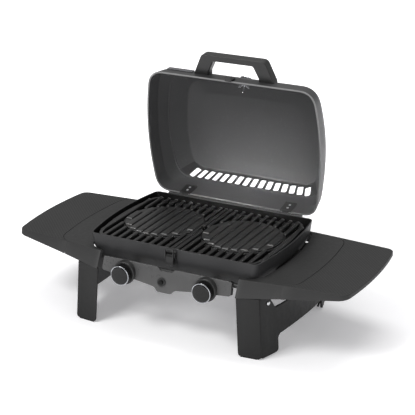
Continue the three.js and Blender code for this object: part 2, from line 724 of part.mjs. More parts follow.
// front edge of the side unit's top, and its mirror-like back edge
function frontEdge(x) {
  const { apex } = SKIRT;
  const between = (a, b) => a.y + ((x - a.x) * (b.y - a.y)) / (b.x - a.x);
  const seam = { x: SEAM.x, y: SEAM.front };
  if (x < apex.x) return between(SKIRT.inner, apex);
  if (x < SEAM.x) return between(apex, seam);
  return between(seam, { x: TABLE.outer, y: TABLE.front });
}

function backEdge(x) {
  if (x < SEAM.x) return SEAM.back + (SEAM.x - x) * 0.065;
  return SEAM.back + ((x - SEAM.x) * (TABLE.back - SEAM.back)) / (TABLE.outer - SEAM.x);
}

const skirtBottom = (x) => 157 + 0.113 * (x - SKIRT.inner.x);

// Points of a cover's outline: plan position, height of its lower edge, and how far that
// edge stands out, along Y, for each millimetre below the top.
const LIP_Z = 189.8;
const lip = ([x, y]) => ({ x, y, low: LIP_Z, flare: 0 });
const frontSkirt = (x) => ({ x, y: frontEdge(x), low: skirtBottom(x), flare: -SKIRT.slope });
const backSkirt = (x) => ({ x, y: backEdge(x), low: skirtBottom(x), flare: SKIRT.slope });
const endSkirt = ([x, y]) => ({ x, y, low: skirtBottom(x), flare: 0 });

// the bowed joint between side panel and table, front to back
function seamCurve(offset) {
  const { x, front, back, halfWidth, bulge, corner } = SEAM;
  const sideX = (y) => halfWidth + bulge * (1 - (y / back) ** 2) + offset;
  const low = front + corner + 12;
  const high = back - corner - 12;
  const turn = (edge, sign, end) => quadratic(
    [x + offset, edge],
    [x + corner * 0.95 + offset, edge + sign * corner * 0.5],
    [sideX(end), end],
    5,
  ).slice(1);
  const STEPS = 6;
  const middle = [];
  for (let i = 1; i < STEPS; i += 1) {
    const y = low + ((high - low) * i) / STEPS;
    middle.push([sideX(y), y]);
  }
  return [...turn(front, 1, low), ...middle, ...turn(back, -1, high).reverse()];
}

// a moulded cover: a flat top with a skirt all round its outline
function cover(outline) {
  const plan = outline.map(({ x, y }) => [x, y]);
  const inner = inset(plan, SHEET);
  const lowered = (loop) => loop.map(([x, y], i) => {
    const { low, flare } = outline[i];
    return [x, y + flare * (TABLE_Z - low), low];
  });
  const innerTop = inner.map(([x, y], i) => [x, y + outline[i].flare * SHEET, TABLE_Z - SHEET]);
  return loft([innerTop, lowered(inner), lowered(plan), atHeight(plan, TABLE_Z)]);
}

function sidePanel() {
  const inner = { x: BOWL.halfWidth + 8, bulge: 16, y: 150 };
  const STEPS = 6;
  const innerEdge = [];
  for (let i = 0; i <= STEPS; i += 1) {
    const y = inner.y - (2 * inner.y * i) / STEPS;
    innerEdge.push([inner.x + inner.bulge * (1 - (y / inner.y) ** 2), y]);
  }
  const cornerX = SKIRT.inner.x;
  const skirtX = [cornerX, 222, SKIRT.apex.x, 278, SEAM.x - SEAM_GAP / 2];
  const outline = [
    ...skirtX.map(frontSkirt),
    ...seamCurve(-SEAM_GAP / 2).map(lip),
    ...skirtX.slice().reverse().map(backSkirt),
    ...quadratic([cornerX, 175.4], [inner.x - 4, 178], innerEdge[0], 4).slice(0, -1).map(lip),
    ...innerEdge.map(lip),
    ...quadratic(innerEdge[STEPS], [inner.x - 16, -182], [cornerX, -184], 4).slice(1).map(lip),
  ];
  return cover(outline);
}

function sideTable() {
  const { outer, bulge, front, back, corner } = TABLE;
  const STEPS = 6;
  const end = [];
  for (let i = 0; i <= STEPS; i += 1) {
    const y = front + corner + ((back - front - 2 * corner) * i) / STEPS;
    end.push([outer + bulge * (1 - (y / back) ** 2), y]);
  }
  const turn = (edge, from, to) => quadratic(from, [outer + 0.5, edge], to, 4);
  const frontCorner = turn(front, [outer - corner, frontEdge(outer - corner)], end[0]);
  const backCorner = turn(back, end[STEPS], [outer - corner, backEdge(outer - corner)]);
  const start = SEAM.x + SEAM_GAP / 2;
  const outline = [
    frontSkirt(start), frontSkirt(390), frontSkirt(outer - corner),
    ...frontCorner.slice(1, -1).map(endSkirt),
    ...end.map(endSkirt),
    ...backCorner.slice(1, -1).map(endSkirt),
    backSkirt(outer - corner), backSkirt(390), backSkirt(start),
    ...seamCurve(SEAM_GAP / 2).reverse().map(lip),
  ];
  return cover(outline);
}

// outer surface of a leg frame's bowed side wall
function sideWallX(y, z) {
  return LEG.mid - LEG.radius + Math.sqrt(LEG.radius ** 2 - y ** 2) - LEG.lean * z;
}

// front or back plate of a leg, with rounded lower corners, sheared into its sloping plane
function legPlate(back) {
  const { x: x0, y: y0, z: z0, alongX, alongZ, inset: shift } = LEG_FACE;
  const wallY = back ? -y0 - shift - 4 : y0 + 4;
  const outerX = (z) => sideWallX(wallY, z) - 0.5;
  const outline = [
    [209, LEG.sole + 6], [211, LEG.sole + 1.5], [215, LEG.sole],
    [outerX(0) - 8, LEG.sole], [outerX(0) - 2.5, LEG.sole + 2], [outerX(0) - 0.4, LEG.sole + 7],
    [outerX(160), skirtBottom(outerX(160)) - 1.4], [199.5, skirtBottom(199.5) - 1.4],
  ];
  const shear = new THREE.Matrix4().set(
    1, 0, 0, 0,
    alongX, 1, alongZ, y0 - alongX * x0 - alongZ * z0,
    0, 0, 1, 0,
    0, 0, 0, 1,
  );
  const plate = prismY(outline, 0, LEG.wall).applyMatrix4(shear);
  return back ? mirrored(plate, 'y').translate(0, -shift, 0) : plate;
}

// one leg frame: a bowed side wall with a front and a back face, legs below, arms above
function legFrame() {
  const { radius, mid, lean, wall, top, sole } = LEG;
  const frontY = -207;
  const backY = -frontY - LEG_FACE.inset;
  const arch = quadratic([-133, 48], [0, 58], [122, 34], 8);
  const profile = [
    [frontY - 1, sole + 6], [frontY + 6, sole], [-151, sole], [-145, 5], [-143, 11], [-143, 38], [-140, 44],
    ...arch,
    [129, 30], [132, 24], [132, 11], [134, 5], [140, sole], [backY - 6, sole], [backY + 1, sole + 6],
    [backY - 4, 158], [backY - 5, 163], [backY - 17, top], [162, top], [162, 160], [140, 124],
    [-150, 124], [-172, 160], [-172, top], [frontY + 19, top], [frontY + 7, 163], [frontY + 4, 158],
  ];
  const slab = prismX(orderCounterClockwise(profile), 180, 340);
  const bow = [];
  const BOW_STEPS = 14;
  const along = (r, i) => {
    const y = -212 + (424 * i) / BOW_STEPS;
    return [mid - radius + Math.sqrt(r * r - y * y), y];
  };
  for (let i = 0; i <= BOW_STEPS; i += 1) bow.push(along(radius, i));
  for (let i = BOW_STEPS; i >= 0; i -= 1) bow.push(along(radius - wall, i));
  const shear = new THREE.Matrix4().set(1, 0, -lean, 0, 0, 1, 0, 0, 0, 0, 1, 0, 0, 0, 0, 1);
  const band = prismZ(orderCounterClockwise(bow), -5, 200).applyMatrix4(shear);
  return join(common(slab, band), legPlate(false), legPlate(true));
}

// rubber pad under a leg's corner
function footPad(back) {
  const { x: x0, y: y0, z: z0, alongX, alongZ, inset: shift } = LEG_FACE;
  const frontY = (x) => y0 + alongX * (x - x0) - alongZ * z0;
  const outline = [
    [216, frontY(216) + 0.5], [258, frontY(258) + 0.5], [263, frontY(263) + 3], [276, -156],
    [271, -156], [260, frontY(260) + LEG.wall], [216, frontY(216) + LEG.wall],
  ];
  const pad = prismZ(orderCounterClockwise(outline), 0, LEG.sole - GAP);
  return back ? mirrored(pad, 'y').translate(0, -shift, 0) : pad;
}

// button-head screw that holds a leg frame's arm
function legScrew(back) {
  const y = back ? 166 : -176;
  const z = 144;
  const { radius, mid, lean } = LEG;
  const x = mid - radius + Math.sqrt(radius * radius - y * y) - lean * z;
  const head = turned([[0, GAP], [5.5, GAP], [5.5, 1.6], [3.5, 3.2], [0, 3.4]], 16);
  const tilt = Math.asin(y / radius);
  return head.rotateY(Math.PI / 2).rotateZ(tilt).translate(x, y, z);
}

// bracket that bolts the side panel to the bowl
function bowlBracket() {
  const outline = [[236, 176], [246.5, 176], [246.5, 186.6], [283, 186.6], [283, 189.4], [236, 189.4]];
  const bracket = prismY(outline, -70, 70);
  const wallClear = loft([
    ...BOWL_FLOOR.slice(2).map((ring) => atHeight(barrel(shrunk(ring, -0.4)), ring.z)),
    atHeight(barrel(shrunk(BOWL, -0.4)), RIM_Z),
  ]);
  return cut(bracket, wallClear);
}

// sheet-steel rail between the front and back legs, under the edge of the bowl
function sideRail() {
  const profile = [
    [-203.4, 106], [193, 106], [193, 140], [187, 147.6], [-158, 147.6], [-172, 158], [-173, 182],
    [-195.4, 182], [-203, 158],
  ];
  return prismX(orderCounterClockwise(profile), 205.5, 207.5);
}

// ---------------------------------------------------------------- gas pipework

function gasManifold() {
  return rodX(PIPE.r, -KNOB.x - 12, 172, PIPE.y, PIPE.z, 16);
}

function gasInlet() {
  const nut = rodX(9, 172 + GAP, 180.5, PIPE.y, PIPE.z, 6);
  const spigot = rodX(6.6, 180, 197, PIPE.y, PIPE.z, 16);
  const bore = rodX(3, 174, 210, PIPE.y, PIPE.z, 12);
  return cut(join(nut, spigot), bore);
}

// ---------------------------------------------------------------- assembly

const grill = new THREE.Group();
const base = new THREE.Group();
base.position.y = BOWL_Y;
base.add(panelGroup, lidGroup);
grill.add(base);

function place(name, geometry, material, parent = base) {
  const mesh = new THREE.Mesh(geometry, material);
  mesh.name = name;
  parent.add(mesh);
  return mesh;
}

place('firebox_bowl', fireboxBowl(), bowlPaint);
place('grease_tray', greaseTray(), steel);
place('tray_runners', trayRunners(), blackSteel);
place('gas_manifold', gasManifold(), blackSteel);
place('gas_inlet', gasInlet(), blackSteel);

place('control_panel', controlPanel(), panelPaint, panelGroup);
place('igniter_body', igniterBody(), blackPlastic, panelGroup).position.set(IGNITER.x, IGNITER.down, 0);
place('igniter_button', igniterButton(), blackPlastic, panelGroup).position.set(IGNITER.x, IGNITER.down, 0);

place('lid_shell', lidShell(), lidPaint, lidGroup);
place('lid_handle', lidHandle(), blackPlastic, lidGroup);
place('lid_catch', lidCatch(), blackSteel, lidGroup);
place('thermometer_dial', thermometerDial(), chrome, lidGroup);
place('thermometer_stem', thermometerStem(), steel, lidGroup);

place('hinge_rod', hingeRod(), blackSteel);
place('latch_base', latchBase(), blackSteel);
place('latch_lever', latchLever(), blackSteel);
place('latch_bail', latchBail(), blackSteel);

for (const [word, side] of [['left', -1], ['right', 1]]) {
  place(`${word}_grate`, forSide(side, grate()), castIron);
  place(`${word}_griddle_plate`, forSide(side, griddlePlate()), castIron);
  place(`${word}_burner`, forSide(side, burner()), steel);
  place(`${word}_electrode`, forSide(side, electrode()), chrome);

  place(`${word}_gas_valve`, gasValve(side), brass);
  place(`${word}_knob_bezel`, knobBezel(side), blackPlastic);
  place(`${word}_knob_stem`, knobStem(side), steel);
  place(`${word}_knob`, knob(side), blackPlastic);
  place(`${word}_knob_ring`, knobRing(side), chrome);

  place(`${word}_hinge_leaf`, hingeLeaf(side), blackSteel, lidGroup);
  place(`${word}_handle_screw`, handleScrew(side), steel, lidGroup);
  place(`${word}_hinge_base`, hingeBase(side), blackSteel);

  place(`${word}_side_panel`, forSide(side, sidePanel()), tablePlastic);
  place(`${word}_table`, forSide(side, sideTable()), tablePlastic);
  place(`${word}_leg_frame`, forSide(side, legFrame()), legPlastic);
  place(`${word}_bowl_bracket`, forSide(side, bowlBracket()), blackSteel);
  place(`${word}_side_rail`, forSide(side, sideRail()), blackSteel);
  for (const [end, back] of [['front', false], ['rear', true]]) {
    place(`${word}_${end}_foot`, forSide(side, footPad(back)), rubber);
    place(`${word}_${end}_leg_screw`, forSide(side, legScrew(back)), steel);
  }
}

export default grill;
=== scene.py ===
import math

import bmesh
import bpy
from mathutils import Matrix, Vector


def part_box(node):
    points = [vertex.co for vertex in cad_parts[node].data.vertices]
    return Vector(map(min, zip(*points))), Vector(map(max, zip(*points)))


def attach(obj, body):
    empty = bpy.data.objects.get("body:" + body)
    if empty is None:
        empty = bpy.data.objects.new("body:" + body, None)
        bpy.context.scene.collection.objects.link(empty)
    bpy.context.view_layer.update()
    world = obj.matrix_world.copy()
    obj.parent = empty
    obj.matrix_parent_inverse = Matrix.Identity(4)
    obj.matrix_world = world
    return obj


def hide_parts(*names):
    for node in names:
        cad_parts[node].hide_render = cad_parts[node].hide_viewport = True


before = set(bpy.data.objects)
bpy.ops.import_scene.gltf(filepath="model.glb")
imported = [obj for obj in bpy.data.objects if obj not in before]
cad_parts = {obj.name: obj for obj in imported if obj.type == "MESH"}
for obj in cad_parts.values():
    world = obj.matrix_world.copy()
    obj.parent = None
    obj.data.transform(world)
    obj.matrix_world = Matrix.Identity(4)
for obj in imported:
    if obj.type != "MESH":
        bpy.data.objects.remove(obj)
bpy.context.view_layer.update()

# ---------------------------------------------------------------- dimensions, in millimetres
# Lengths repeat the CAD's. y is measured from the middle of the bowl, which the CAD gives.

MM = 0.001
SIDES = (("left", -1), ("right", 1))
bowl_low, bowl_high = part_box("firebox_bowl")
BOWL_Y = (bowl_low[1] + bowl_high[1]) / 2 / MM
GRILL = Matrix.Scale(MM, 4) @ Matrix.Translation((0, BOWL_Y, 0))

# a ring is (height, half width, bulge of the sides, front, back, corner)
BOWL_RINGS = [
    (136, 60, 0, -40, 40, 10),
    (150, 200, 13, -140, 140, 24),
    (172, 224, 16, -163, 163, 18),
    (198, 235, 17.5, -172.5, 172.5, 15),
    (238, 239, 18, -176, 176, 14),
]
LID_RINGS = [
    (240, 241, 19, -178, 181, 40),
    (285, 234, 20, -173.5, 176.5, 42),
    (322, 216, 24, -157, 172, 46),
    (370, 190, 17, -118, 159, 44),
    (379, 150, 12, -80, 124, 40),
    (382, 90, 6, -30, 74, 30),
]
WALL = 3.0
BOWL_LIP, LID_LIP = 3.2, 4.4

HINGE_X, HINGE_Y, HINGE_Z, LID_OPEN = 154, 183, 236, 83.6
PANEL_Y, PANEL_Z, PANEL_LEAN = -201.5, 192, 15
KNOB_X, KNOB_Y, KNOB_Z, KNOB_R = 117, -210.7, 162, 26
IGNITER_X, IGNITER_DOWN = -9, -37

PITCH = 23.2
GRATE_TOP, GRATE_BOTTOM = 233, 221
DISC_X, DISC_R = 116, 106
TABLE_TOP = 200

WEAVE_PERIOD = 7.1

# how finely the outlines and creases are drawn
CORNER_STEPS, SIDE_STEPS, CREASE_STEPS = 9, 18, 4
# angles in degrees past which an edge is rounded, and past which it is shaded as sharp
ROUNDED_ANGLE, SHARP_ANGLE = 28, 48
CAD_ROUNDED_ANGLE, CAD_SHARP_ANGLE = 35, 40
# a rounding takes up at most this share of the way to the next ring
MOST_ROUNDED = 0.45


# ---------------------------------------------------------------- node materials

class Nodes:
    """A material's node tree, with a short way to add and join nodes."""

    def __init__(self, name):
        self.material = bpy.data.materials.new(name)
        self.material.use_nodes = True
        self.tree = self.material.node_tree
        self.bsdf = self.tree.nodes["Principled BSDF"]
        self.coords = self.tree.nodes.new("ShaderNodeTexCoord")
        self.place = self.coords.outputs["Object"]

    def add(self, kind, **values):
        node = self.tree.nodes.new("ShaderNode" + kind)
        for key, value in values.items():
            if hasattr(node, key):
                setattr(node, key, value)
            else:
                self.put(node, key.replace("_", " ").title(), value)
        return node

    def put(self, node, socket, value):
        """Links or sets an input, given by its name or number."""
        target = node.inputs[socket]
        if isinstance(value, bpy.types.NodeSocket):
            self.tree.links.new(value, target)
        else:
            target.default_value = value

    def noise(self, size_mm, detail=3.0, stretch=(1, 1, 1)):
        place = self.place
        if stretch != (1, 1, 1):
            mapping = self.add("Mapping")
            self.put(mapping, "Vector", self.place)
            self.put(mapping, "Scale", stretch)
            place = mapping.outputs["Vector"]
        node = self.add("TexNoise", scale=1000.0 / size_mm, detail=detail)
        self.put(node, "Vector", place)
        return node.outputs["Fac"]

    def remap(self, value, low, high, out_low, out_high):
        node = self.add("MapRange")
        sockets = ("Value", "From Min", "From Max", "To Min", "To Max")
        for socket, number in zip(sockets, (value, low, high, out_low, out_high)):
            self.put(node, socket, number)
        return node.outputs["Result"]

    def multiply(self, a, b):
        return self.maths("MULTIPLY", a, b)

    def maths(self, operation, a, b):
        node = self.add("Math", operation=operation)
        self.put(node, 0, a)
        self.put(node, 1, b)
        return node.outputs["Value"]

    def mix(self, factor, first, second):
        """A mix of two colours; the Mix node's colour sockets are numbers 6 and 7, and 2 on its way out."""
        node = self.add("Mix", data_type="RGBA")
        for socket, value in ((0, factor), (6, first), (7, second)):
            self.put(node, socket, value)
        return node.outputs[2]

    def bump(self, height, depth_mm, below=None):
        node = self.add("Bump")
        self.put(node, "Height", height)
        self.put(node, "Distance", depth_mm * MM)
        if below is not None:
            self.put(node, "Normal", below)
        return node.outputs["Normal"]

    def edges(self, low=0.52, high=0.62):
        """1 on convex edges, 0 elsewhere."""
        geometry = self.add("NewGeometry")
        return self.remap(geometry.outputs["Pointiness"], low, high, 0.0, 1.0)

    def finish(self, colour, roughness, normal):
        self.put(self.bsdf, "Base Color", colour)
        self.put(self.bsdf, "Roughness", roughness)
        self.put(self.bsdf, "Normal", normal)
        return self.material


def grey(level, tint=(1, 1, 1)):
    """A colour from its grey level as seen on screen, 0 to 1."""
    linear = level / 12.92 if level <= 0.04045 else ((level + 0.055) / 1.055) ** 2.4
    return (linear * tint[0], linear * tint[1], linear * tint[2], 1.0)


def coated(
    name, level, roughness, grain=1.1, depth=0.05, mottle=0.06, edge_wear_and_highlight=0.25, gloss=0.3, tint=(1, 1, 1),
):
    """Paint, enamel or moulded plastic: fine grain, a slow change of colour and gloss, and lighter edges
    that are partly wear and partly a painted edge highlight.
    """
    n = Nodes(name)
    fine = n.noise(grain, 4.0)
    broad = n.noise(90, 2.0)
    dust = n.noise(9, 3.0)
    low, high = grey(level * (1 - mottle), tint), grey(level * (1 + mottle), tint)
    colour = n.mix(n.remap(broad, 0.3, 0.7, 0, 1), low, high)
    colour = n.mix(n.remap(dust, 0.58, 0.75, 0, 0.25), colour, grey(level * 1.25, tint))
    # lighter convex edges: partly wear, partly a painted edge highlight
    colour = n.mix(n.multiply(n.edges(), edge_wear_and_highlight), colour, grey(min(level * 1.7 + 0.08, 1), tint))
    uneven = n.remap(n.maths("ADD", dust, broad), 0.7, 1.3, roughness * 0.88, roughness * 1.12)
    n.put(n.bsdf, "Specular IOR Level", gloss)
    return n.finish(colour, uneven, n.bump(fine, depth))


def weave_waves(n, angle):
    """Waves across the top at this angle; a wave node's period is 2 pi / 20 over its scale."""
    mapping = n.add("Mapping")
    n.put(mapping, "Vector", n.place)
    n.put(mapping, "Rotation", (0, 0, math.radians(angle)))
    wave = n.add("TexWave", wave_type="BANDS", bands_direction="X", wave_profile="SIN")
    n.put(wave, "Vector", mapping.outputs["Vector"])
    n.put(wave, "Scale", 2 * math.pi / 20 / (WEAVE_PERIOD * MM))
    return wave.outputs["Fac"]


def woven(name, level, roughness, gloss):
    """Moulded plastic with a fine diagonal weave on the faces that look up."""
    n = Nodes(name)
    facing = n.add("SeparateXYZ")
    n.put(facing, "Vector", n.coords.outputs["Normal"])
    top = n.remap(facing.outputs["Z"], 0.9, 0.98, 0, 1)
    weave = n.multiply(n.multiply(weave_waves(n, 45), weave_waves(n, -45)), top)
    broad = n.noise(110, 2.0)
    colour = n.mix(n.remap(broad, 0.3, 0.7, 0, 1), grey(level * 0.96), grey(level * 1.04))
    colour = n.mix(n.remap(weave, 0.1, 0.9, 0, 0.5), colour, grey(level * 1.22))
    # lighter convex edges: partly wear, partly a painted edge highlight
    colour = n.mix(n.multiply(n.edges(), 0.3), colour, grey(level * 1.7))
    n.put(n.bsdf, "Specular IOR Level", gloss)
    grain = n.bump(n.noise(0.9, 3.0), 0.03)
    uneven = n.remap(weave, 0, 1, roughness * 1.1, roughness * 0.9)
    return n.finish(colour, uneven, n.bump(weave, 0.22, grain))


def casting(name, level, roughness):
    """Enamelled cast iron: pitted, with brownish heat marks and brighter ridges that are partly rubbed and
    partly a painted edge highlight.
    """
    n = Nodes(name)
    pits = n.noise(2.2, 6.0)
    heat = n.noise(45, 3.0)
    colour = n.mix(n.remap(heat, 0.45, 0.7, 0, 0.6), grey(level), grey(level * 1.15, (1.12, 0.98, 0.88)))
    colour = n.mix(n.remap(pits, 0.55, 0.75, 0, 0.35), colour, grey(level * 1.5))
    # lighter convex edges: partly rubbed, partly a painted edge highlight
    colour = n.mix(n.multiply(n.edges(0.51, 0.6), 0.35), colour, grey(level * 2.3))
    n.put(n.bsdf, "Specular IOR Level", 0.35)
    uneven = n.remap(pits, 0.35, 0.65, roughness * 0.85, roughness * 1.15)
    return n.finish(colour, uneven, n.bump(pits, 0.16))


def metal(name, colour, roughness, brushed=(1, 1, 1)):
    """Bare or plated metal with fine scratches."""
    n = Nodes(name)
    lines = n.noise(1.2, 4.0, brushed)
    stain = n.noise(24, 3.0)
    dark = tuple(c * 0.82 for c in colour)
    stained = n.mix(n.remap(stain, 0.4, 0.7, 0, 1), (*colour, 1), (*dark, 1))
    n.put(n.bsdf, "Metallic", 1.0)
    uneven = n.remap(lines, 0.3, 0.7, roughness * 0.75, roughness * 1.3)
    return n.finish(stained, uneven, n.bump(lines, 0.01))


BOWL_PAINT = coated("bowl_coat", 0.18, 0.46, grain=1.0, depth=0.07, gloss=0.22, tint=(1, 1, 1.03))
# a darker coat for the bowl's inside
BOWL_INSIDE = coated("bowl_darker_inside", 0.06, 0.5, grain=1.2, depth=0.07, gloss=0.15)
LID_PAINT = coated(
    "lid_coat", 0.22, 0.42, grain=1.0, depth=0.06, mottle=0.03, gloss=0.25, tint=(1, 1, 1.02),
)
# painted light: a lighter, glossier copy of the lid's coat for its inside
LID_INSIDE_PAINTED_LIGHT = coated(
    "lid_inside", 0.265, 0.40, grain=1.0, depth=0.06, mottle=0.015, gloss=0.4, tint=(1, 1, 1.02),
)
# painted highlight: a lighter, glossier coat for the lid's rim
RIM_PAINTED_HIGHLIGHT = coated("lid_rim_painted_highlight", 0.42, 0.38, grain=0.8, depth=0.04, gloss=0.5)
PANEL_PAINT = coated("panel_coat", 0.26, 0.30, grain=0.8, depth=0.03, gloss=0.55)
SMOOTH_PLASTIC = coated("side_panel_plastic", 0.165, 0.52, grain=1.4, depth=0.06, mottle=0.03, gloss=0.22)
TABLE_PLASTIC = woven("table_plastic", 0.165, 0.55, gloss=0.22)
LEG_PLASTIC = coated("leg_plastic", 0.085, 0.55, grain=1.5, depth=0.07, mottle=0.03, gloss=0.22)
HANDLE_PLASTIC = coated("handle_plastic", 0.12, 0.36, grain=0.7, depth=0.02, mottle=0.04, gloss=0.35)
KNOB_PLASTIC = coated("knob_plastic", 0.03, 0.22, grain=0.6, depth=0.008, mottle=0.05, edge_wear_and_highlight=0.3)
BLACK_STEEL = coated("black_steel", 0.07, 0.35, grain=0.7, depth=0.02, edge_wear_and_highlight=0.5, gloss=0.35)
RUBBER = coated("foot_rubber", 0.07, 0.85, grain=1.6, depth=0.08, edge_wear_and_highlight=0.1, gloss=0.2)
CAST_IRON = casting("grate_casting", 0.095, 0.40)
GRIDDLE_IRON = casting("griddle_casting", 0.11, 0.42)
# painted highlight: a light casting colour for the tops of the bar stops and the front ends of the ribs
IRON_PAINTED_HIGHLIGHT = casting("casting_painted_highlight", 0.27, 0.36)
CHROME = metal("bright_plate", (0.82, 0.83, 0.85), 0.13)
DARK_CHROME = metal("dark_plate", (0.40, 0.41, 0.43), 0.2)
BADGE_METAL = metal("badge_metal", (0.20, 0.20, 0.21), 0.4, (18, 1, 1))
STEEL = metal("plain_steel", (0.62, 0.63, 0.64), 0.33, (1, 18, 1))
DIAL_FACE = coated("dial_face", 0.72, 0.4, grain=0.8, depth=0.01, mottle=0.03, gloss=0.4)
BRASS = metal("plain_brass", (0.62, 0.45, 0.20), 0.34, (1, 1, 12))


# ---------------------------------------------------------------- places

def shift(x, y, z):
    return Matrix.Translation((x, y, z))


def spin(degrees, axis):
    return Matrix.Rotation(math.radians(degrees), 4, axis)


def on_lid():
    """From the closed lid to the open one."""
    hinge = shift(0, HINGE_Y, HINGE_Z)
    return GRILL @ hinge @ spin(-LID_OPEN, "X") @ hinge.inverted()


def on_panel(x=0.0, along=0.0):
    """Flat on the control panel: x to the right, y up along it, z out of it."""
    return GRILL @ shift(0, PANEL_Y, PANEL_Z) @ spin(90 - PANEL_LEAN, "X") @ shift(x, along, 0)


def on_knob(side):
    """Along a knob's axis: z out of the front."""
    return GRILL @ shift(side * KNOB_X, KNOB_Y, KNOB_Z) @ spin(90, "X")


# ---------------------------------------------------------------- outlines

def quadratic(a, control, b, steps):
    """Points on a quadratic curve, its ends included."""
    points = []
    for i in range(steps + 1):
        t = i / steps
        points.append(tuple(
            (1 - t) ** 2 * p + 2 * t * (1 - t) * q + t * t * r for p, q, r in zip(a, control, b)
        ))
    return points


def both_halves(half):
    """A right half, and its mirror image on the way back."""
    return half + [(-x, y) for x, y in reversed(half)]


def between(first, second, share):
    return tuple(a + (b - a) * share for a, b in zip(first, second))


def rounded_rectangle(width, height, radius, steps=4):
    w, h = width / 2 - radius, height / 2 - radius
    points = []
    for cx, cy, start in ((w, h, 0), (-w, h, 90), (-w, -h, 180), (w, -h, 270)):
        for i in range(steps + 1):
            a = math.radians(start + 90 * i / steps)
            points.append((cx + radius * math.cos(a), cy + radius * math.sin(a)))
    return points


def barrel(half_width, bulge, front, back, corner):
    """The barrel-shaped outline of bowl and lid, counter-clockwise from the front."""
    middle, half = (front + back) / 2, (back - front) / 2

    def side_x(y):
        return half_width + bulge * (1 - ((y - middle) / half) ** 2)

    def turn(edge, inward):
        start = (side_x(edge) - corner, edge)
        end = (side_x(edge + inward * corner), edge + inward * corner)
        return quadratic(start, (side_x(edge), edge), end, CORNER_STEPS)

    right = turn(front, 1)
    low, high = front + corner, back - corner
    for i in range(1, SIDE_STEPS):
        y = low + (high - low) * i / SIDE_STEPS
        right.append((side_x(y), y))
    return both_halves(right + turn(back, -1)[::-1])


def inset(loop, by):
    """Moves every side of a counter-clockwise outline inwards."""
    count = len(loop)
    out = []
    for i, point in enumerate(loop):
        sides = []
        for a, b in ((loop[i - 1], point), (point, loop[(i + 1) % count])):
            length = math.dist(a, b)
            sides.append((-(b[1] - a[1]) / length, (b[0] - a[0]) / length))
        total = (sides[0][0] + sides[1][0], sides[0][1] + sides[1][1])
        scale = 2 * by / (total[0] ** 2 + total[1] ** 2)
        out.append((point[0] + total[0] * scale, point[1] + total[1] * scale))
    return out


# ---------------------------------------------------------------- rings

def ring_points(ring):
    z, *plan = ring
    return [(x, y, z) for x, y in barrel(*plan)]


def shrunk(ring, by, drop=0.0):
    z, half_width, bulge, front, back, corner = ring
    return (z + drop, half_width - by, bulge, front + by, back - by, max(corner - by, 4))


def softened(rings, radii):
    """Rounds the crease at each ring between the first and last, by its own radius."""
    out = [rings[0]]
    for before, ring, after, radius in zip(rings, rings[1:], rings[2:], radii):
        ends = []
        for other in (before, after):
            distance = math.dist((ring[0], ring[1], ring[3]), (other[0], other[1], other[3]))
            ends.append(between(ring, other, min(radius / distance, MOST_ROUNDED)))
        out += quadratic(ends[0], ring, ends[1], CREASE_STEPS)
    out.append(rings[-1])
    return out


# ---------------------------------------------------------------- mesh helpers

def add_loft(bm, rings):
    """A closed skin through rings of points. Its faces come band by band, then the first and last caps."""
    made = [[bm.verts.new(p) for p in ring] for ring in rings]
    count = len(rings[0])
    faces = []
    for low, high in zip(made, made[1:]):
        for i in range(count):
            j = (i + 1) % count
            faces.append(bm.faces.new((low[i], low[j], high[j], high[i])))
    faces.append(bm.faces.new(made[0][::-1]))
    faces.append(bm.faces.new(made[-1]))
    return faces


def add_shell(bm, keys, radii):
    """A barrel-shaped shell. Gives its softened rings, its faces, and how many go round it."""
    rings = softened(keys, radii)
    loops = [ring_points(ring) for ring in rings]
    return rings, add_loft(bm, loops), len(loops[0])


AXIS_ORDER = {"X": (2, 0, 1), "Y": (0, 2, 1), "Z": (0, 1, 2)}


def add_prism(bm, outline, low, high, axis="Z"):
    """An outline in the plane across the axis, drawn out along it."""
    order = AXIS_ORDER[axis]
    add_loft(bm, [[[(a, b, level)[i] for i in order] for a, b in outline] for level in (low, high)])


def add_box(bm, x0, x1, y0, y1, z0, z1):
    add_prism(bm, [(x0, y0), (x1, y0), (x1, y1), (x0, y1)], z0, z1)


def add_turned(bm, profile, segments=48, matrix=None):
    """A solid of revolution about Z from (radius, z) pairs; on the axis at both ends, or closed."""
    rings = []
    for radius, z in profile:
        if radius < 1e-6:
            rings.append([bm.verts.new((0, 0, z))])
            continue
        angles = [2 * math.pi * i / segments for i in range(segments)]
        rings.append([bm.verts.new((radius * math.cos(a), radius * math.sin(a), z)) for a in angles])
    for low, high in zip(rings, rings[1:]):
        for i in range(segments):
            j = (i + 1) % segments
            corners = [low[i % len(low)], low[j % len(low)], high[j % len(high)], high[i % len(high)]]
            corners = list(dict.fromkeys(corners))
            if len(corners) > 2:
                bm.faces.new(corners)
    if matrix is not None:
        bmesh.ops.transform(bm, matrix=matrix, verts=[v for ring in rings for v in ring])


def add_cylinder(bm, radius, low, high, segments=24, matrix=None):
    add_turned(bm, [(0, low), (radius, low), (radius, high), (0, high)], segments, matrix)


def merge(bm, part, matrix):
    """Adds a small mesh, moved by the matrix, and frees it."""
    part.transform(matrix)
    mesh = bpy.data.meshes.new("part")
    part.to_mesh(mesh)
    part.free()
    bm.from_mesh(mesh)
    bpy.data.meshes.remove(mesh)


def soft_edges(bm, width, segments):
    edges = []
    for edge in bm.edges:
        if len(edge.link_faces) == 2 and edge.calc_face_angle(0) > math.radians(ROUNDED_ANGLE):
            edges.append(edge)
    if edges and width:
        bmesh.ops.bevel(
            bm, geom=edges, offset=width, segments=segments, profile=0.5, affect="EDGES", clamp_overlap=True,
        )


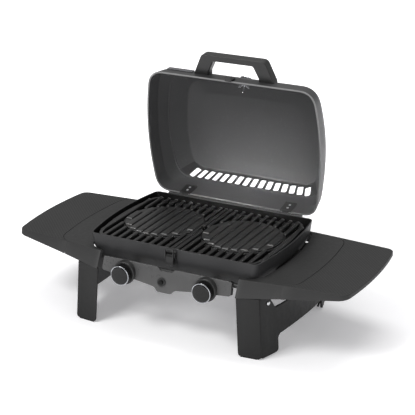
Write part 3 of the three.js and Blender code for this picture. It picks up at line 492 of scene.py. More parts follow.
def piece(name, bm, matrix, material, body, bevel=0.0, segments=2, stands_for=(), trims=()):
    """Finishes a mesh: rounds its edges, shades it, and hangs it on its body.

    trims are further materials, for the faces whose material index is 1 and up.
    """
    bmesh.ops.remove_doubles(bm, verts=bm.verts, dist=1e-4)
    bmesh.ops.recalc_face_normals(bm, faces=bm.faces)
    soft_edges(bm, bevel, segments)
    for face in bm.faces:
        face.smooth = True
    for edge in bm.edges:
        edge.smooth = len(edge.link_faces) == 2 and edge.calc_face_angle(0) < math.radians(SHARP_ANGLE)
    bm.transform(matrix)
    mesh = bpy.data.meshes.new(name)
    bm.to_mesh(mesh)
    bm.free()
    for layer in (material, *trims):
        mesh.materials.append(layer)
    thing = bpy.data.objects.new(name, mesh)
    bpy.context.scene.collection.objects.link(thing)
    weighted = thing.modifiers.new("normals", "WEIGHTED_NORMAL")
    weighted.keep_sharp = True
    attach(thing, body)
    if stands_for:
        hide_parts(*stands_for)
    return thing


def carve(thing, cutters, material):
    """Cuts a piece with closed meshes, and applies the cuts."""
    mesh = bpy.data.meshes.new(thing.name + "_cutter")
    bmesh.ops.recalc_face_normals(cutters, faces=cutters.faces)
    cutters.to_mesh(mesh)
    cutters.free()
    mesh.materials.append(material)
    tool = bpy.data.objects.new(mesh.name, mesh)
    bpy.context.scene.collection.objects.link(tool)
    cut = thing.modifiers.new("cut", "BOOLEAN")
    cut.operation = "DIFFERENCE"
    cut.solver = "EXACT"
    cut.use_self = True
    cut.object = tool
    thing.modifiers.move(len(thing.modifiers) - 1, 0)
    depsgraph = bpy.context.evaluated_depsgraph_get()
    done = bpy.data.meshes.new_from_object(thing.evaluated_get(depsgraph))
    thing.modifiers.remove(thing.modifiers["cut"])
    thing.data = done
    bpy.data.objects.remove(tool)


# ---------------------------------------------------------------- firebox

# radii of the bowl's creases: up the outside, over the lip and down the inside
BOWL_RADII = [14, 16, 12, 1.0, 1.0, 10, 14, 12]
STEM_HOLE_R, DRAIN_R = 9.5, 12
LUG_XS, LUG_HALF_WIDTH = (-190, -60, 60, 190), 9
LUG_SPANS = [(-169, -156), (143, 169)]


def make_bowl():
    """The bowl, darker inside, with holes for the knob stems and the drain."""
    inside = [shrunk(ring, WALL - 1, WALL) for ring in BOWL_RINGS[:-1]]
    top = BOWL_RINGS[-1]
    bm = bmesh.new()
    keys = [*BOWL_RINGS, shrunk(top, BOWL_LIP), *reversed(inside)]
    rings, faces, around = add_shell(bm, keys, BOWL_RADII)
    lip = next(i for i, ring in enumerate(rings) if ring[0] > top[0] - 0.01)
    past_lip = lip + CREASE_STEPS + 1
    for face in faces[past_lip * around:]:
        face.material_index = 1
    underside = faces[-2]
    underside.material_index = 0
    bowl = piece("bowl_casting", bm, GRILL, BOWL_PAINT, "frame", stands_for=["firebox_bowl"],
                 trims=[BOWL_INSIDE])
    holes = bmesh.new()
    for _, side in SIDES:
        stem = GRILL @ shift(side * KNOB_X, -150, KNOB_Z) @ spin(90, "X")
        add_cylinder(holes, STEM_HOLE_R, -25, 25, 32, stem)
    add_cylinder(holes, DRAIN_R, 128, 146, 32, GRILL)
    carve(bowl, holes, BOWL_PAINT)


def make_bowl_lugs():
    """Lugs inside the bowl's front and back walls, which the grates lie on."""
    bm = bmesh.new()
    for x in LUG_XS:
        for front, back in LUG_SPANS:
            x0, x1 = x - LUG_HALF_WIDTH, x + LUG_HALF_WIDTH
            add_box(bm, x0, x1, front, back, GRATE_BOTTOM - 8, GRATE_BOTTOM - 0.4)
    piece("bowl_lugs", bm, GRILL, BOWL_PAINT, "frame", bevel=1.2)


# ---------------------------------------------------------------- grates

BARS, FIRST_BAR_X = 11, 6.5
BAR_WIDTH, BAR_FOOT, STOP_WIDTH = 11.0, 6.0, 10.5
# how a bar ends: (way in from the end, drop of its top, share of its width)
BAR_END = [(0.0, 5.0, 0.62), (1.2, 2.0, 0.82), (3.6, 0.0, 1.0)]
SEAT_R = DISC_R + 5
GRATE_FRONT, GRATE_BACK = -164, 150
GRATE_EDGE = (226, 18, GRATE_FRONT - 1, GRATE_BACK + 1, 24)  # a ring without its height
CROSS_BAR_XS, CROSS_BAR_YS, CROSS_BAR_WIDTH = (2, 222), (-154, 140), 8
END_X, END_WIDTH = 196, 7  # where the curved end starts, and its width


def bar_profile(width, bottom_width, low, high):
    """Cross-section of a cast bar: narrower below, with a crowned top."""
    w, b = width / 2, bottom_width / 2
    crown = quadratic((w, high - 3), (w, high), (0, high), 4)
    return [(-b, low), (b, low), *crown, *[(-x, z) for x, z in reversed(crown[:-1])]]


def standing(profile, x, y):
    """A profile at this place along a bar, ordered for a loft towards the back."""
    return [(x + px, y, pz) for px, pz in reversed(profile)]


def add_bar(bm, x, y0, y1):
    """A bar along Y whose ends are rounded down and in."""
    stations = [(y0 + way, drop, share) for way, drop, share in BAR_END]
    stations += [(y1 - way, drop, share) for way, drop, share in reversed(BAR_END)]
    sections = []
    for y, drop, share in stations:
        low = GRATE_BOTTOM + min(drop, 2) * 0.5
        profile = bar_profile(BAR_WIDTH * share, BAR_FOOT * share, low, GRATE_TOP - drop)
        sections.append(standing(profile, x, y))
    add_loft(bm, sections)


def add_stop(bm, x, back):
    """A low boss at a bar's back end, with a painted highlight on its top."""
    profile = bar_profile(STOP_WIDTH, STOP_WIDTH, GRATE_BOTTOM + 3, GRATE_TOP + 0.8)
    for face in add_loft(bm, [standing(profile, x, y) for y in (back - 3.6, back - 0.6)]):
        if min(v.co.z for v in face.verts) > GRATE_TOP - 2.4:
            face.material_index = 1


def grate_reach(x):
    """Where the grate's outline starts and ends, along Y, at this x."""
    half_width, _, front, back, corner = GRATE_EDGE
    if x < half_width - corner:
        return front, back
    crossings = []
    loop = barrel(*GRATE_EDGE)
    for (xa, ya), (xb, yb) in zip(loop, loop[1:]):
        if min(xa, xb) <= x <= max(xa, xb) and abs(xb - xa) > 1e-9:
            crossings.append(ya + (yb - ya) * (x - xa) / (xb - xa))
    return min(crossings), max(crossings)


def bar_spans(x, front, back):
    """The stretches of the bar at this x, which stops at the seat of the griddle plate."""
    across = abs(x - DISC_X)
    clear = math.sqrt(SEAT_R ** 2 - across ** 2) - 3 if across < SEAT_R - 1 else 0
    return [(front, -clear), (clear, back)] if clear > 4 else [(front, back)]


def add_seat(bm, side):
    """The ring with a ledge that the griddle plate lies on."""
    low, ledge_top, top = GRATE_BOTTOM + 0.4, GRATE_BOTTOM + 3.7, GRATE_BOTTOM + 6.0
    ledge, wall = DISC_R - 5, DISC_R + 1
    add_turned(bm, [
        (wall, low), (SEAT_R, low), (SEAT_R, top - 1), (SEAT_R - 1, top), (wall + 1, top), (wall, top - 1),
        (wall, ledge_top), (ledge, ledge_top), (ledge, low), (wall, low),
    ], 96, shift(side * DISC_X, 0, 0))


def add_grate_frame(bm, side):
    """The two cross bars, and the curved edge at the grill's end."""
    for y in CROSS_BAR_YS:
        x0, x1 = sorted(side * x for x in CROSS_BAR_XS)
        y0, y1 = y - CROSS_BAR_WIDTH / 2, y + CROSS_BAR_WIDTH / 2
        add_box(bm, x0, x1, y0, y1, GRATE_BOTTOM + 0.5, GRATE_TOP - 6)
    half_width, bulge, front, back, corner = GRATE_EDGE
    inner_edge = (half_width - END_WIDTH, bulge, front + END_WIDTH, back - END_WIDTH, corner - 6)
    outer = [p for p in barrel(*GRATE_EDGE) if p[0] > END_X]
    inner = [p for p in barrel(*inner_edge) if p[0] > END_X - 6]
    outline = [(side * x, y) for x, y in outer + inner[::-1]]
    add_prism(bm, outline, GRATE_BOTTOM + 0.6, GRATE_TOP - 1.0)


def make_grate(word, side):
    """One half of the cooking surface: cast bars with a round seat for the griddle plate."""
    bm = bmesh.new()
    for k in range(BARS):
        x = k * PITCH if k else FIRST_BAR_X
        front, back = grate_reach(x)
        for y0, y1 in bar_spans(x, front + 1, back - 1):
            add_bar(bm, side * x, y0, y1)
        add_stop(bm, side * x, back)
    add_seat(bm, side)
    add_grate_frame(bm, side)
    piece(f"{word}_grate_casting", bm, GRILL, CAST_IRON, f"{word}_grate",
          stands_for=[f"{word}_grate"], trims=[IRON_PAINTED_HIGHLIGHT])


# ---------------------------------------------------------------- griddle plates

RIBS_EACH_WAY, RIB_WIDTH = 4, 17.4
PLATE_BOTTOM = GRATE_BOTTOM + 4.3


def add_rib(bm, x):
    """A flat-topped rib along Y, almost from edge to edge, with a painted highlight at its front end."""
    half = math.sqrt((DISC_R - 1) ** 2 - (abs(x) + RIB_WIDTH / 2 - 1.5) ** 2)
    foot = PLATE_BOTTOM + 2
    sections = []
    for y, drop, share in (
        (-half, 2.4, 0.94), (-half + 1.7, 0.4, 0.98), (-half + 5, 0.0, 1.0),
        (half - 8, 0.0, 1.0), (half - 6, 0.6, 0.97), (half, 6.5, 0.86),
    ):
        w = RIB_WIDTH / 2 * share
        z = GRATE_TOP + 1 - drop
        sections.append([
            (x - w, y, foot), (x - w, y, z - 1.6), (x - w + 1.4, y, z - 0.3), (x, y, z),
            (x + w - 1.4, y, z - 0.3), (x + w, y, z - 1.6), (x + w, y, foot),
        ])
    for face in add_loft(bm, sections):
        at_front = all(v.co.y < -half + 1.8 for v in face.verts)
        if at_front and min(v.co.z for v in face.verts) > foot + 1:
            face.material_index = 1


def make_griddle(word, side):
    """A round plate with nine ribs, in line with the bars of its grate."""
    bm = bmesh.new()
    rim, top = PLATE_BOTTOM + 4.4, PLATE_BOTTOM + 5.2
    add_turned(bm, [
        (0, PLATE_BOTTOM), (DISC_R - 1, PLATE_BOTTOM), (DISC_R, PLATE_BOTTOM + 1), (DISC_R, rim),
        (DISC_R - 1, top), (0, top),
    ], 96)
    for k in range(-RIBS_EACH_WAY, RIBS_EACH_WAY + 1):
        add_rib(bm, k * PITCH)
    piece(f"{word}_griddle_casting", bm, GRILL @ shift(side * DISC_X, 0, 0), GRIDDLE_IRON,
          f"{word}_griddle_plate", stands_for=[f"{word}_griddle_plate"], trims=[IRON_PAINTED_HIGHLIGHT])


# ---------------------------------------------------------------- lid
# The lid's pieces are made as if it were closed, and on_lid() opens it.

# radii of the lid's creases: from inside the top down to the rim, and up the outside
LID_RADII = [8, 0.6, 1.2, 0.6, 0.6, 0.9, 0.6, 2.5, 0.9, 0.9, 14, 3.5, 9, 12]
BEAD, BEAD_HEIGHT = 2.2, 1.5  # half width and height of the raised bead along each inner crease
VENTS, VENT_STEP, VENT_WIDTH, VENT_LENGTH, VENT_CORNER = 16, 23.3, 16.5, 37, 4.2
VENT_Y, VENT_Z, VENT_FAN = 165, 344, 19
STRIP_Y = 145  # the strip with the vents lies behind this
CUT_REACH, PROBE_HOLE_R = 12, 4.2
HANDLE_LOW, HANDLE_HIGH = 265, 293
THERMOMETER = shift(3, -146.4, 335) @ spin(51, "X")  # on the front slope, z facing out
BADGE = shift(-164, -177, 277) @ spin(-5.7, "X")  # on the front wall
DIAL_R, DIAL_Z = 14.2, 4.3
TICKS, SWEEP, TICK_END = 13, 250, 12.8
SCREWS_UP, SCREW_IN = (14, 29), 4.6  # up from the rim, and in from the wall's outside


def bead_rings(inside, index, share_above):
    """Three rings in place of this one, the middle one raised; the last is this share of the way up."""
    below, ring, above = inside[index - 1:index + 2]
    foot = between(below, ring, 1 - BEAD / (ring[0] - below[0]))
    return [foot, shrunk(ring, BEAD_HEIGHT), between(ring, above, share_above)]


def lid_inside():
    """The rings of the lid's inner skin, from its rim up, with beads along two of them."""
    inside = [
        shrunk(LID_RINGS[0], LID_LIP),
        *[shrunk(ring, WALL, -WALL * 0.6) for ring in LID_RINGS[1:4]],
        *[shrunk(ring, WALL, -WALL) for ring in LID_RINGS[4:]],
    ]
    lower_share, upper_share = BEAD / (LID_RINGS[3][0] - LID_RINGS[2][0]), 0.22
    inside[2:4] = [*bead_rings(inside, 2, lower_share), *bead_rings(inside, 3, upper_share)]
    return inside


def on_vent_strip(place):
    """Whether this is on the strip of the back wall that the vents go through."""
    return LID_RINGS[2][0] + 1 < place.z < LID_RINGS[3][0] - 2 and place.y > STRIP_Y


def vent_cutters():
    """The slots in the back wall, which fan out from its middle."""
    cutters = bmesh.new()
    low, high = LID_RINGS[2], LID_RINGS[3]
    lean = Matrix.Rotation(math.atan2(low[4] - high[4], high[0] - low[0]), 4, "X")
    for i in range(VENTS):
        x = (i - (VENTS - 1) / 2) * VENT_STEP
        fan = VENT_FAN * x / (VENT_STEP * VENTS / 2)
        slot = bmesh.new()
        outline = rounded_rectangle(VENT_WIDTH, VENT_LENGTH, VENT_CORNER)
        add_prism(slot, outline, -CUT_REACH, CUT_REACH, "Y")
        merge(cutters, slot, on_lid() @ shift(x, VENT_Y, VENT_Z) @ lean @ spin(-fan, "Y"))
    return cutters


def make_lid():
    """The hollow lid, with a painted highlight on its rim, painted light on its inside and painted shade on
    its vent strip, and its vents and thermometer hole cut through.
    """
    bm = bmesh.new()
    rings, faces, around = add_shell(bm, [*reversed(lid_inside()), *LID_RINGS], LID_RADII)
    rim = next(i for i, ring in enumerate(rings) if ring[0] < LID_RINGS[0][0] + 0.01)
    # the inside takes the lighter copy of the coat as painted light, except the vent strip, which keeps the
    # darker outer coat as painted shade
    for face in faces[:rim * around]:
        face.material_index = 0 if on_vent_strip(face.calc_center_median()) else 2
    ceiling = faces[-2]
    ceiling.material_index = 2
    # the rim's faces take the lighter rim coat, a painted highlight
    for face in faces:
        if all(v.co.z < LID_RINGS[0][0] + 1.0 for v in face.verts):
            face.material_index = 1
    lid = piece("lid_casting", bm, on_lid(), LID_PAINT, "lid", stands_for=["lid_shell"],
                trims=[RIM_PAINTED_HIGHLIGHT, LID_INSIDE_PAINTED_LIGHT])
    cutters = vent_cutters()
    add_cylinder(cutters, PROBE_HOLE_R, -CUT_REACH, CUT_REACH, 24, on_lid() @ THERMOMETER)
    carve(lid, cutters, LID_PAINT)


def make_handle():
    """A loop that stands out from the front wall, wider at its foot than at its grip."""
    foot, top, inner_foot, inner_top = 118, 90, 75, 60
    front, grip = -233, 17
    behind = front + grip
    half = [
        (foot, -170), (foot - 1, -178), (top + 8, front + 12),
        *quadratic((top + 6, front + 8), (top + 2, front), (top - 9, front), 5),
    ]
    hole = [
        (inner_top - 8, behind),
        *quadratic((inner_top - 6, behind), (inner_top - 1, behind), (inner_top + 2, behind + 8), 4),
        (inner_foot - 1, -184), (inner_foot, -170),
    ]
    inside = [(-x, y) for x, y in reversed(hole)] + hole
    bm = bmesh.new()
    add_prism(bm, both_halves(half) + inside, HANDLE_LOW, HANDLE_HIGH)
    piece("handle_moulding", bm, on_lid(), HANDLE_PLASTIC, "lid", bevel=3.0, segments=3,
          stands_for=["lid_handle"])


def make_badge():
    """Blank raised plate on the lid's front wall."""
    bm = bmesh.new()
    add_prism(bm, rounded_rectangle(78, 17, 3), 0, 2.0, "Y")
    piece("blank_badge", bm, on_lid() @ BADGE, BADGE_METAL, "lid", bevel=0.5)


def make_dial_face():
    """Scale, needle and rim of the thermometer, without any lettering."""
    seat = on_lid() @ THERMOMETER
    face = bmesh.new()
    add_cylinder(face, DIAL_R, DIAL_Z, DIAL_Z + 0.5, 48)
    piece("thermometer_face", face, seat, DIAL_FACE, "lid")
    rim = bmesh.new()
    add_turned(rim, [
        (DIAL_R, DIAL_Z), (16.2, 4.0), (16.8, 4.6), (16.2, 5.6), (14.8, 5.8), (DIAL_R, 5.0),
        (DIAL_R, DIAL_Z),
    ], 48)
    piece("thermometer_rim", rim, seat, CHROME, "lid")
    marks = bmesh.new()
    for i in range(TICKS):
        tick = bmesh.new()
        long = 3.2 if i % 3 == 0 else 2.0
        add_box(tick, -0.3, 0.3, TICK_END - long, TICK_END, 4.7, 4.95)
        merge(marks, tick, spin(SWEEP / 2 - SWEEP * i / (TICKS - 1), "Z"))
    needle = [(-0.9, -3), (0.9, -3), (0.25, 10), (-0.25, 10)]
    add_prism(marks, needle, 4.9, 5.3)
    add_turned(marks, [(0, 4.7), (1.8, 4.7), (1.8, 5.4), (0, 5.7)], 20)
    piece("thermometer_marks", marks, seat, KNOB_PLASTIC, "lid")


def make_thermometer_stem():
    """The probe inside the lid, with the wing nut that holds it."""
    bm = bmesh.new()
    add_turned(bm, [(0, 0.6), (2.4, 0.6), (2.4, -34), (1.4, -36), (0, -36)], 24)
    add_turned(bm, [(2.6, -12), (7.6, -12), (7.2, -18), (2.6, -18), (2.6, -12)], 32)
    for _, side in SIDES:
        wing = quadratic((side * 5, -12.4), (side * 16, -12), (side * 17, -24), 5)
        wing += quadratic((side * 16, -24), (side * 11, -23), (side * 5, -17.5), 5)[1:]
        add_prism(bm, wing, -1.2, 1.2, "Y")
    piece("thermometer_probe", bm, on_lid() @ THERMOMETER, CHROME, "lid", bevel=0.3,
          stands_for=["thermometer_stem"])


def make_hinge_screws():
    """Two pan-head screws on each hinge leaf, inside the lid's back wall."""
    low, high = LID_RINGS[:2]
    for word, side in SIDES:
        for up in SCREWS_UP:
            wall = between(low, high, up / (high[0] - low[0]))[4]
            lie = shift(side * HINGE_X, wall - SCREW_IN, low[0] + up) @ spin(90, "X")
            bm = bmesh.new()
            add_turned(bm, [(0, 0), (3.6, 0), (3.6, 0.7), (3.0, 1.7), (1.6, 2.2), (1.3, 1.3), (0, 1.2)], 24)
            piece(f"{word}_hinge_screw_{up}", bm, on_lid() @ lie, STEEL, "lid")


# ---------------------------------------------------------------- control panel

KNOB_START, KNOB_FRONT, KNOB_RIBS = 11.8, 29.5, 36


def make_panel():
    """The flat sheet of the control panel, with holes for the knobs and the igniter."""
    half = [
        *quadratic((17, -8), (21, -3), (25, 0), 4),
        *quadratic((180, 0), (184, 0), (184.2, -4), 3),
        *quadratic((185.5, -30), (185.5, -36), (179, -37), 4),
        (76, -46.5),
        *quadratic((40, -51), (30, -52), (26, -56), 4),
        *quadratic((22, -61), (20, -63.5), (14, -63.5), 4),
    ]
    bm = bmesh.new()
    add_prism(bm, both_halves(half), -2.5, 0)
    plate = piece("panel_sheet", bm, on_panel(), PANEL_PAINT, "frame", bevel=0.9, segments=3,
                  stands_for=["control_panel"])
    holes = bmesh.new()
    for _, side in SIDES:
        add_cylinder(holes, 7, -40, 30, 24, on_knob(side))
    add_cylinder(holes, 8.3, -30, 10, 24, on_panel(IGNITER_X, IGNITER_DOWN))
    carve(plate, holes, PANEL_PAINT)


def make_panel_flanges():
    """The panel's folded ends and top, with a hole for the gas inlet in the right end."""
    bm = bmesh.new()
    for _, side in SIDES:
        x0, x1 = sorted((side * 181.5, side * 184))
        add_box(bm, x0, x1, -34, -2, -16, -1.5)
        x0, x1 = sorted((side * 31, side * 168))
        add_box(bm, x0, x1, -3, -0.5, -10, -1.5)
    flange = piece("panel_flanges", bm, on_panel(), PANEL_PAINT, "frame", bevel=0.4)
    inlet = bmesh.new()
    add_cylinder(inlet, 8, -8, 8, 24, GRILL @ shift(183, -189.5, 179.6) @ spin(90, "Y"))
    carve(flange, inlet, PANEL_PAINT)


def make_knob(word, side):
    """A knob with ribbed sides, and the plated ring round its front."""
    r, start, front = KNOB_R, KNOB_START, KNOB_FRONT
    bm = bmesh.new()
    add_turned(bm, [
        (0, start + 4), (4.2, start + 4), (4.2, start), (r - 2, start), (r - 0.6, start + 1.4),
        (r - 0.6, 23.6), (r - 0.2, 24.4), (r - 2, 24.7), (r - 2, 27.6), (r - 2.4, 28.3),
        (r - 4.5, front - 0.5), (r * 0.5, front - 0.1), (0, front),
    ], 64)
    for i in range(KNOB_RIBS):
        rib = bmesh.new()
        add_prism(rib, rounded_rectangle(2.0, 1.2, 0.5, 2), start + 2.2, 22.8)
        merge(bm, rib, spin(360 * i / KNOB_RIBS, "Z") @ shift(0, r - 0.75, 0))
    piece(f"{word}_knob_moulding", bm, on_knob(side), KNOB_PLASTIC, f"{word}_knob",
          stands_for=[f"{word}_knob"])
    ring = bmesh.new()
    add_turned(ring, [
        (r - 1.7, 24.9), (r - 0.1, 24.9), (r + 0.2, 25.3), (r + 0.2, 26.0), (r - 0.3, 26.5), (r - 1.7, 26.7),
        (r - 1.7, 24.9),
    ], 64)
    piece(f"{word}_knob_trim", ring, on_knob(side), DARK_CHROME, f"{word}_knob",
          stands_for=[f"{word}_knob_ring"])


def make_bezel(word, side):
    """The collar behind a knob, cut off where it meets the leaning panel."""
    bm = bmesh.new()
    add_turned(bm, [
        (7, -13), (31, -13), (31, 5.4), (30.4, 7.2), (29, 8), (27.6, 8), (26.8, 6.6), (9, 6.6), (8, 8),
        (7, 8), (7, -13),
    ], 72)
    collar = piece(f"{word}_bezel_moulding", bm, on_knob(side), HANDLE_PLASTIC, "frame",
                   stands_for=[f"{word}_knob_bezel"])
    behind = bmesh.new()
    add_box(behind, -70, 70, -70, 70, -80, 0.3)
    behind.transform(on_panel(side * KNOB_X, -31))
    carve(collar, behind, HANDLE_PLASTIC)


# ---------------------------------------------------------------- side units
# The right one is drawn; the left one is its mirror image.

SEAM = {"x": 311, "front": -179, "back": 176, "half_width": 338, "bulge": 16, "corner": 32}
TABLE = {"outer": 474, "bulge": 14, "front": -163, "back": 163, "corner": 20}
INNER_X = 199
FRONT_LINE = [(INNER_X, -193), (245, -188), (SEAM["x"], SEAM["front"]), (TABLE["outer"], TABLE["front"])]
BACK_LINE = [(INNER_X, 183.28), (SEAM["x"], SEAM["back"]), (TABLE["outer"], TABLE["back"])]
SKIRT_Z, SKIRT_RISE = 157, 0.113
SHEET = 3.2
FLARE = 0.51
LIP_Z = 189.8
SEAM_STEPS, INNER_STEPS, END_STEPS = 16, 20, 14


def line_y(line, x):
    """The y of a line through corner points, at this x."""
    for (xa, ya), (xb, yb) in zip(line, line[1:]):
        if x < xb:
            return ya + (yb - ya) * (x - xa) / (xb - xa)
    return line[-1][1]


def skirt_bottom(x):
    return SKIRT_Z + SKIRT_RISE * (x - INNER_X)


# an outline point is (x, y, height of the skirt's edge, how far it leans out per unit of depth)
def lip(point):
    return (point[0], point[1], LIP_Z, 0.0)


def front_skirt(x):
    return (x, line_y(FRONT_LINE, x), skirt_bottom(x), -FLARE)


def back_skirt(x):
    return (x, line_y(BACK_LINE, x), skirt_bottom(x), FLARE)


def end_skirt(point):
    return (point[0], point[1], skirt_bottom(point[0]), 0.0)


def corner_skirt(points, sign, dying):
    """The skirt round a corner of the table, where its lean dies away or comes back."""
    out = []
    for index, (x, y) in enumerate(points):
        share = (index + 1) / (len(points) + 1)
        lean = FLARE * (1 - share if dying else share)
        out.append((x, y, skirt_bottom(x), sign * lean))
    return out


def seam_curve(offset):
    """The seam between side panel and table, from front to back."""
    x, front, back, corner = SEAM["x"], SEAM["front"], SEAM["back"], SEAM["corner"]

    def side_x(y):
        return SEAM["half_width"] + SEAM["bulge"] * (1 - (y / back) ** 2) + offset

    low, high = front + corner + 12, back - corner - 12

    def turn(edge, sign, end):
        bend = (x + corner * 0.95 + offset, edge + sign * corner * 0.5)
        return quadratic((x + offset, edge), bend, (side_x(end), end), 10)[2:]

    middle = []
    for i in range(1, SEAM_STEPS):
        y = low + (high - low) * i / SEAM_STEPS
        middle.append((side_x(y), y))
    return [*turn(front, 1, low), *middle, *turn(back, -1, high)[::-1]]


def add_cover(bm, outline, edge=1.6):
    """A moulded cover: a flat top whose edge is rounded over into a skirt."""
    plan = [(p[0], p[1]) for p in outline]

    def ring(by, fall):
        loop = inset(plan, by) if by else plan
        points = []
        for (x, y), (_, _, low, flare) in zip(loop, outline):
            z = TABLE_TOP - fall(TABLE_TOP - low)
            points.append((x, y + flare * (TABLE_TOP - z), z))
        return points

    add_loft(bm, [
        ring(SHEET, lambda depth: SHEET),
        ring(SHEET, lambda depth: depth - 0.6),
        ring(SHEET - 0.6, lambda depth: depth),
        ring(0.6, lambda depth: depth),
        ring(0.0, lambda depth: depth - 0.6),
        ring(0.0, lambda depth: edge),
        ring(edge * 0.12, lambda depth: edge * 0.5),
        ring(edge * 0.5, lambda depth: edge * 0.12),
        ring(edge, lambda depth: 0.0),
    ])


def mirrored(outline, side):
    if side > 0:
        return outline
    return [(-p[0], *p[1:]) for p in reversed(outline)]


def spread(xs, extra):
    """Adds evenly spaced values between the given ones."""
    out = []
    for a, b in zip(xs, xs[1:]):
        out += [a + (b - a) * i / extra for i in range(extra)]
    return [*out, xs[-1]]


def make_side_panel(word, side):
    """The fixed cover between bowl and seam, with an inner edge that follows the bowl."""
    inner_x, bulge, reach = BOWL_RINGS[-1][1] + 8, 16, 150
    inner = []
    for i in range(INNER_STEPS + 1):
        y = reach - 2 * reach * i / INNER_STEPS
        inner.append((inner_x + bulge * (1 - (y / reach) ** 2), y))
    skirt = spread([INNER_X, 222, 245, 278, SEAM["x"] - 0.4], 3)
    outline = [
        *[front_skirt(x) for x in skirt],
        *[lip(p) for p in seam_curve(-0.4)],
        *[back_skirt(x) for x in reversed(skirt)],
        *[lip(p) for p in quadratic((INNER_X, 175.4), (inner_x - 4, 178), inner[0], 8)[:-1]],
        *[lip(p) for p in inner],
        *[lip(p) for p in quadratic(inner[-1], (inner_x - 16, -182), (INNER_X, -184), 8)[1:]],
    ]
    bm = bmesh.new()
    add_cover(bm, mirrored(outline, side))
    piece(f"{word}_side_moulding", bm, GRILL, SMOOTH_PLASTIC, "frame",
          stands_for=[f"{word}_side_panel"])


def make_table(word, side):
    """The folding cover beyond the seam, with a bulging outer end."""
    outer, bulge, corner = TABLE["outer"], TABLE["bulge"], TABLE["corner"]
    front, back = TABLE["front"], TABLE["back"]
    end = []
    for i in range(END_STEPS + 1):
        y = front + corner + (back - front - 2 * corner) * i / END_STEPS
        end.append((outer + bulge * (1 - (y / back) ** 2), y))
    turn_x = outer - corner
    near, far = (turn_x, line_y(FRONT_LINE, turn_x)), (turn_x, line_y(BACK_LINE, turn_x))
    front_corner = quadratic(near, (outer + 0.5, front), end[0], 8)[1:-1]
    back_corner = quadratic(end[-1], (outer + 0.5, back), far, 8)[1:-1]
    skirt = spread([SEAM["x"] + 0.4, 390, turn_x], 5)
    outline = [
        *[front_skirt(x) for x in skirt],
        *corner_skirt(front_corner, -1, True),
        *[end_skirt(p) for p in end],
        *corner_skirt(back_corner, 1, False),
        *[back_skirt(x) for x in reversed(skirt)],
        *[lip(p) for p in reversed(seam_curve(0.4))],
    ]
    bm = bmesh.new()
    add_cover(bm, mirrored(outline, side))
    piece(f"{word}_table_moulding", bm, GRILL, TABLE_PLASTIC, f"{word}_table",
          stands_for=[f"{word}_table"])


# ---------------------------------------------------------------- carried-over CAD pieces

def dress(node, material, bevel):
    """Gives a CAD node its material, and rounds its edges in the render."""
    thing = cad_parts[node]
    thing.data.materials.clear()
    thing.data.materials.append(material)
    for polygon in thing.data.polygons:
        polygon.use_smooth = True
    if bevel:
        soft = thing.modifiers.new("soft_edges", "BEVEL")
        soft.width = bevel * MM
        soft.segments = 2
        soft.limit_method = "ANGLE"
        soft.angle_limit = math.radians(CAD_ROUNDED_ANGLE)
    split = thing.modifiers.new("split", "EDGE_SPLIT")
    split.split_angle = math.radians(CAD_SHARP_ANGLE)


SINGLE_NODES = {
    "grease_tray": (STEEL, 0.4),
    "tray_runners": (BLACK_STEEL, 0.3),
    # painted shade: the gas manifold and the gas inlet are black so that they read as the dark shade around
    # them
    "gas_manifold": (BLACK_STEEL, 0.6),
    "gas_inlet": (BLACK_STEEL, 0.5),
    "hinge_rod": (BLACK_STEEL, 0.3),
    "igniter_body": (HANDLE_PLASTIC, 0.4),
    "igniter_button": (KNOB_PLASTIC, 0.4),
    "lid_catch": (BLACK_STEEL, 0.4),
    "thermometer_dial": (DARK_CHROME, 0.6),
    "latch_base": (BLACK_STEEL, 0.3),
    "latch_lever": (BLACK_STEEL, 0.3),
    "latch_bail": (BLACK_STEEL, 0.3),
}
PAIRED_NODES = {
    "burner": (STEEL, 0.0),
    "electrode": (CHROME, 0.0),
    "gas_valve": (BRASS, 0.8),
    "knob_stem": (STEEL, 0.3),
    "hinge_leaf": (BLACK_STEEL, 0.3),
    "handle_screw": (STEEL, 0.5),
    "hinge_base": (BLACK_STEEL, 0.3),
    "leg_frame": (LEG_PLASTIC, 1.0),
    "bowl_bracket": (BLACK_STEEL, 0.3),
    "side_rail": (BLACK_STEEL, 0.3),
    "front_foot": (RUBBER, 0.3),
    "rear_foot": (RUBBER, 0.3),
    "front_leg_screw": (STEEL, 0.3),
    "rear_leg_screw": (STEEL, 0.3),
}


def dress_all():
    for node, (material, bevel) in SINGLE_NODES.items():
        dress(node, material, bevel)
    for word, _ in SIDES:
        for node, (material, bevel) in PAIRED_NODES.items():
            dress(f"{word}_{node}", material, bevel)


# ---------------------------------------------------------------- studio, in metres

GLOW_NEAR, GLOW_FAR = 0.35, 1.5  # from the grill outwards the floor glows more, from dim to bright
GLOW_DIM, GLOW_BRIGHT = 0.22, 0.8
CAMERA_AZIMUTH, CAMERA_ELEVATION, CAMERA_DISTANCE = 27.4, 21.2, 3.436
CAMERA_TARGET = Vector((0.0065, 0.0118 + BOWL_Y * MM, 0.2677))


def make_floor():
    bpy.ops.mesh.primitive_plane_add(size=60)
    floor = bpy.context.active_object
    floor.name = "studio_floor"
    n = Nodes("studio_floor")
    shade = n.remap(n.noise(700, 2.0), 0.3, 0.7, 0, 1)
    n.put(n.bsdf, "Base Color", n.mix(shade, (0.93, 0.93, 0.94, 1), (0.95, 0.95, 0.95, 1)))
    n.put(n.bsdf, "Roughness", 0.75)
    n.put(n.bsdf, "Emission Color", (0.98, 0.97, 1.0, 1))
    away = n.add("VectorMath", operation="LENGTH")
    n.put(away, "Vector", n.place)
    glow = n.remap(away.outputs["Value"], GLOW_NEAR, GLOW_FAR, GLOW_DIM, GLOW_BRIGHT)
    n.put(n.bsdf, "Emission Strength", glow)
    floor.data.materials.append(n.material)


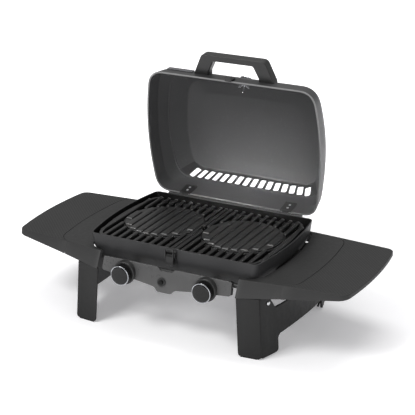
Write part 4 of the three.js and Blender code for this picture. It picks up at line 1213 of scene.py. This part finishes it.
def make_light(name, place, target, size, power, spread_angle=180):
    data = bpy.data.lights.new(name, "AREA")
    data.shape = "RECTANGLE"
    data.size, data.size_y = size
    data.energy = power
    data.spread = math.radians(spread_angle)
    lamp = bpy.data.objects.new(name, data)
    lamp.location = place
    lamp.rotation_euler = (Vector(target) - Vector(place)).to_track_quat("-Z", "Y").to_euler()
    bpy.context.scene.collection.objects.link(lamp)


def make_studio():
    world = bpy.data.worlds.new("studio")
    bpy.context.scene.world = world
    world.use_nodes = True
    background = world.node_tree.nodes["Background"]
    background.inputs["Color"].default_value = (1, 1, 1, 1)
    background.inputs["Strength"].default_value = 0.45
    middle = (0, 0, 0.25)
    make_light("key", (-1.1, -2.2, 2.9), middle, (1.5, 1.1), 76)
    make_light("fill", (1.8, -2.8, 1.0), middle, (1.6, 1.0), 18)
    make_light("top", (0.1, 0.9, 3.1), middle, (2.2, 1.2), 40)
    make_light("lid_glow", (0.15, -1.5, 0.8), (0.03, 0.2, 0.29), (0.3, 0.14), 0.4, spread_angle=13)
    bpy.context.scene.view_settings.view_transform = "Standard"


def make_camera():
    azimuth, elevation = math.radians(CAMERA_AZIMUTH), math.radians(CAMERA_ELEVATION)
    level = math.cos(elevation)
    away = Vector((math.sin(azimuth) * level, -math.cos(azimuth) * level, math.sin(elevation)))
    data = bpy.data.cameras.new("photo_view")
    data.lens = 113.1
    data.sensor_width = 36
    data.shift_y = 0.0154
    data.clip_end = 200
    camera = bpy.data.objects.new("photo_view", data)
    camera.location = CAMERA_TARGET + away * CAMERA_DISTANCE
    camera.rotation_euler = (-away).to_track_quat("-Z", "Y").to_euler()
    bpy.context.scene.collection.objects.link(camera)
    bpy.context.scene.camera = camera


# ---------------------------------------------------------------- the whole scene

dress_all()
make_bowl()
make_bowl_lugs()
make_lid()
make_handle()
make_badge()
make_dial_face()
make_thermometer_stem()
make_hinge_screws()
make_panel()
make_panel_flanges()
for word, side in SIDES:
    make_grate(word, side)
    make_griddle(word, side)
    make_knob(word, side)
    make_bezel(word, side)
    make_side_panel(word, side)
    make_table(word, side)
make_floor()
make_studio()
make_camera()
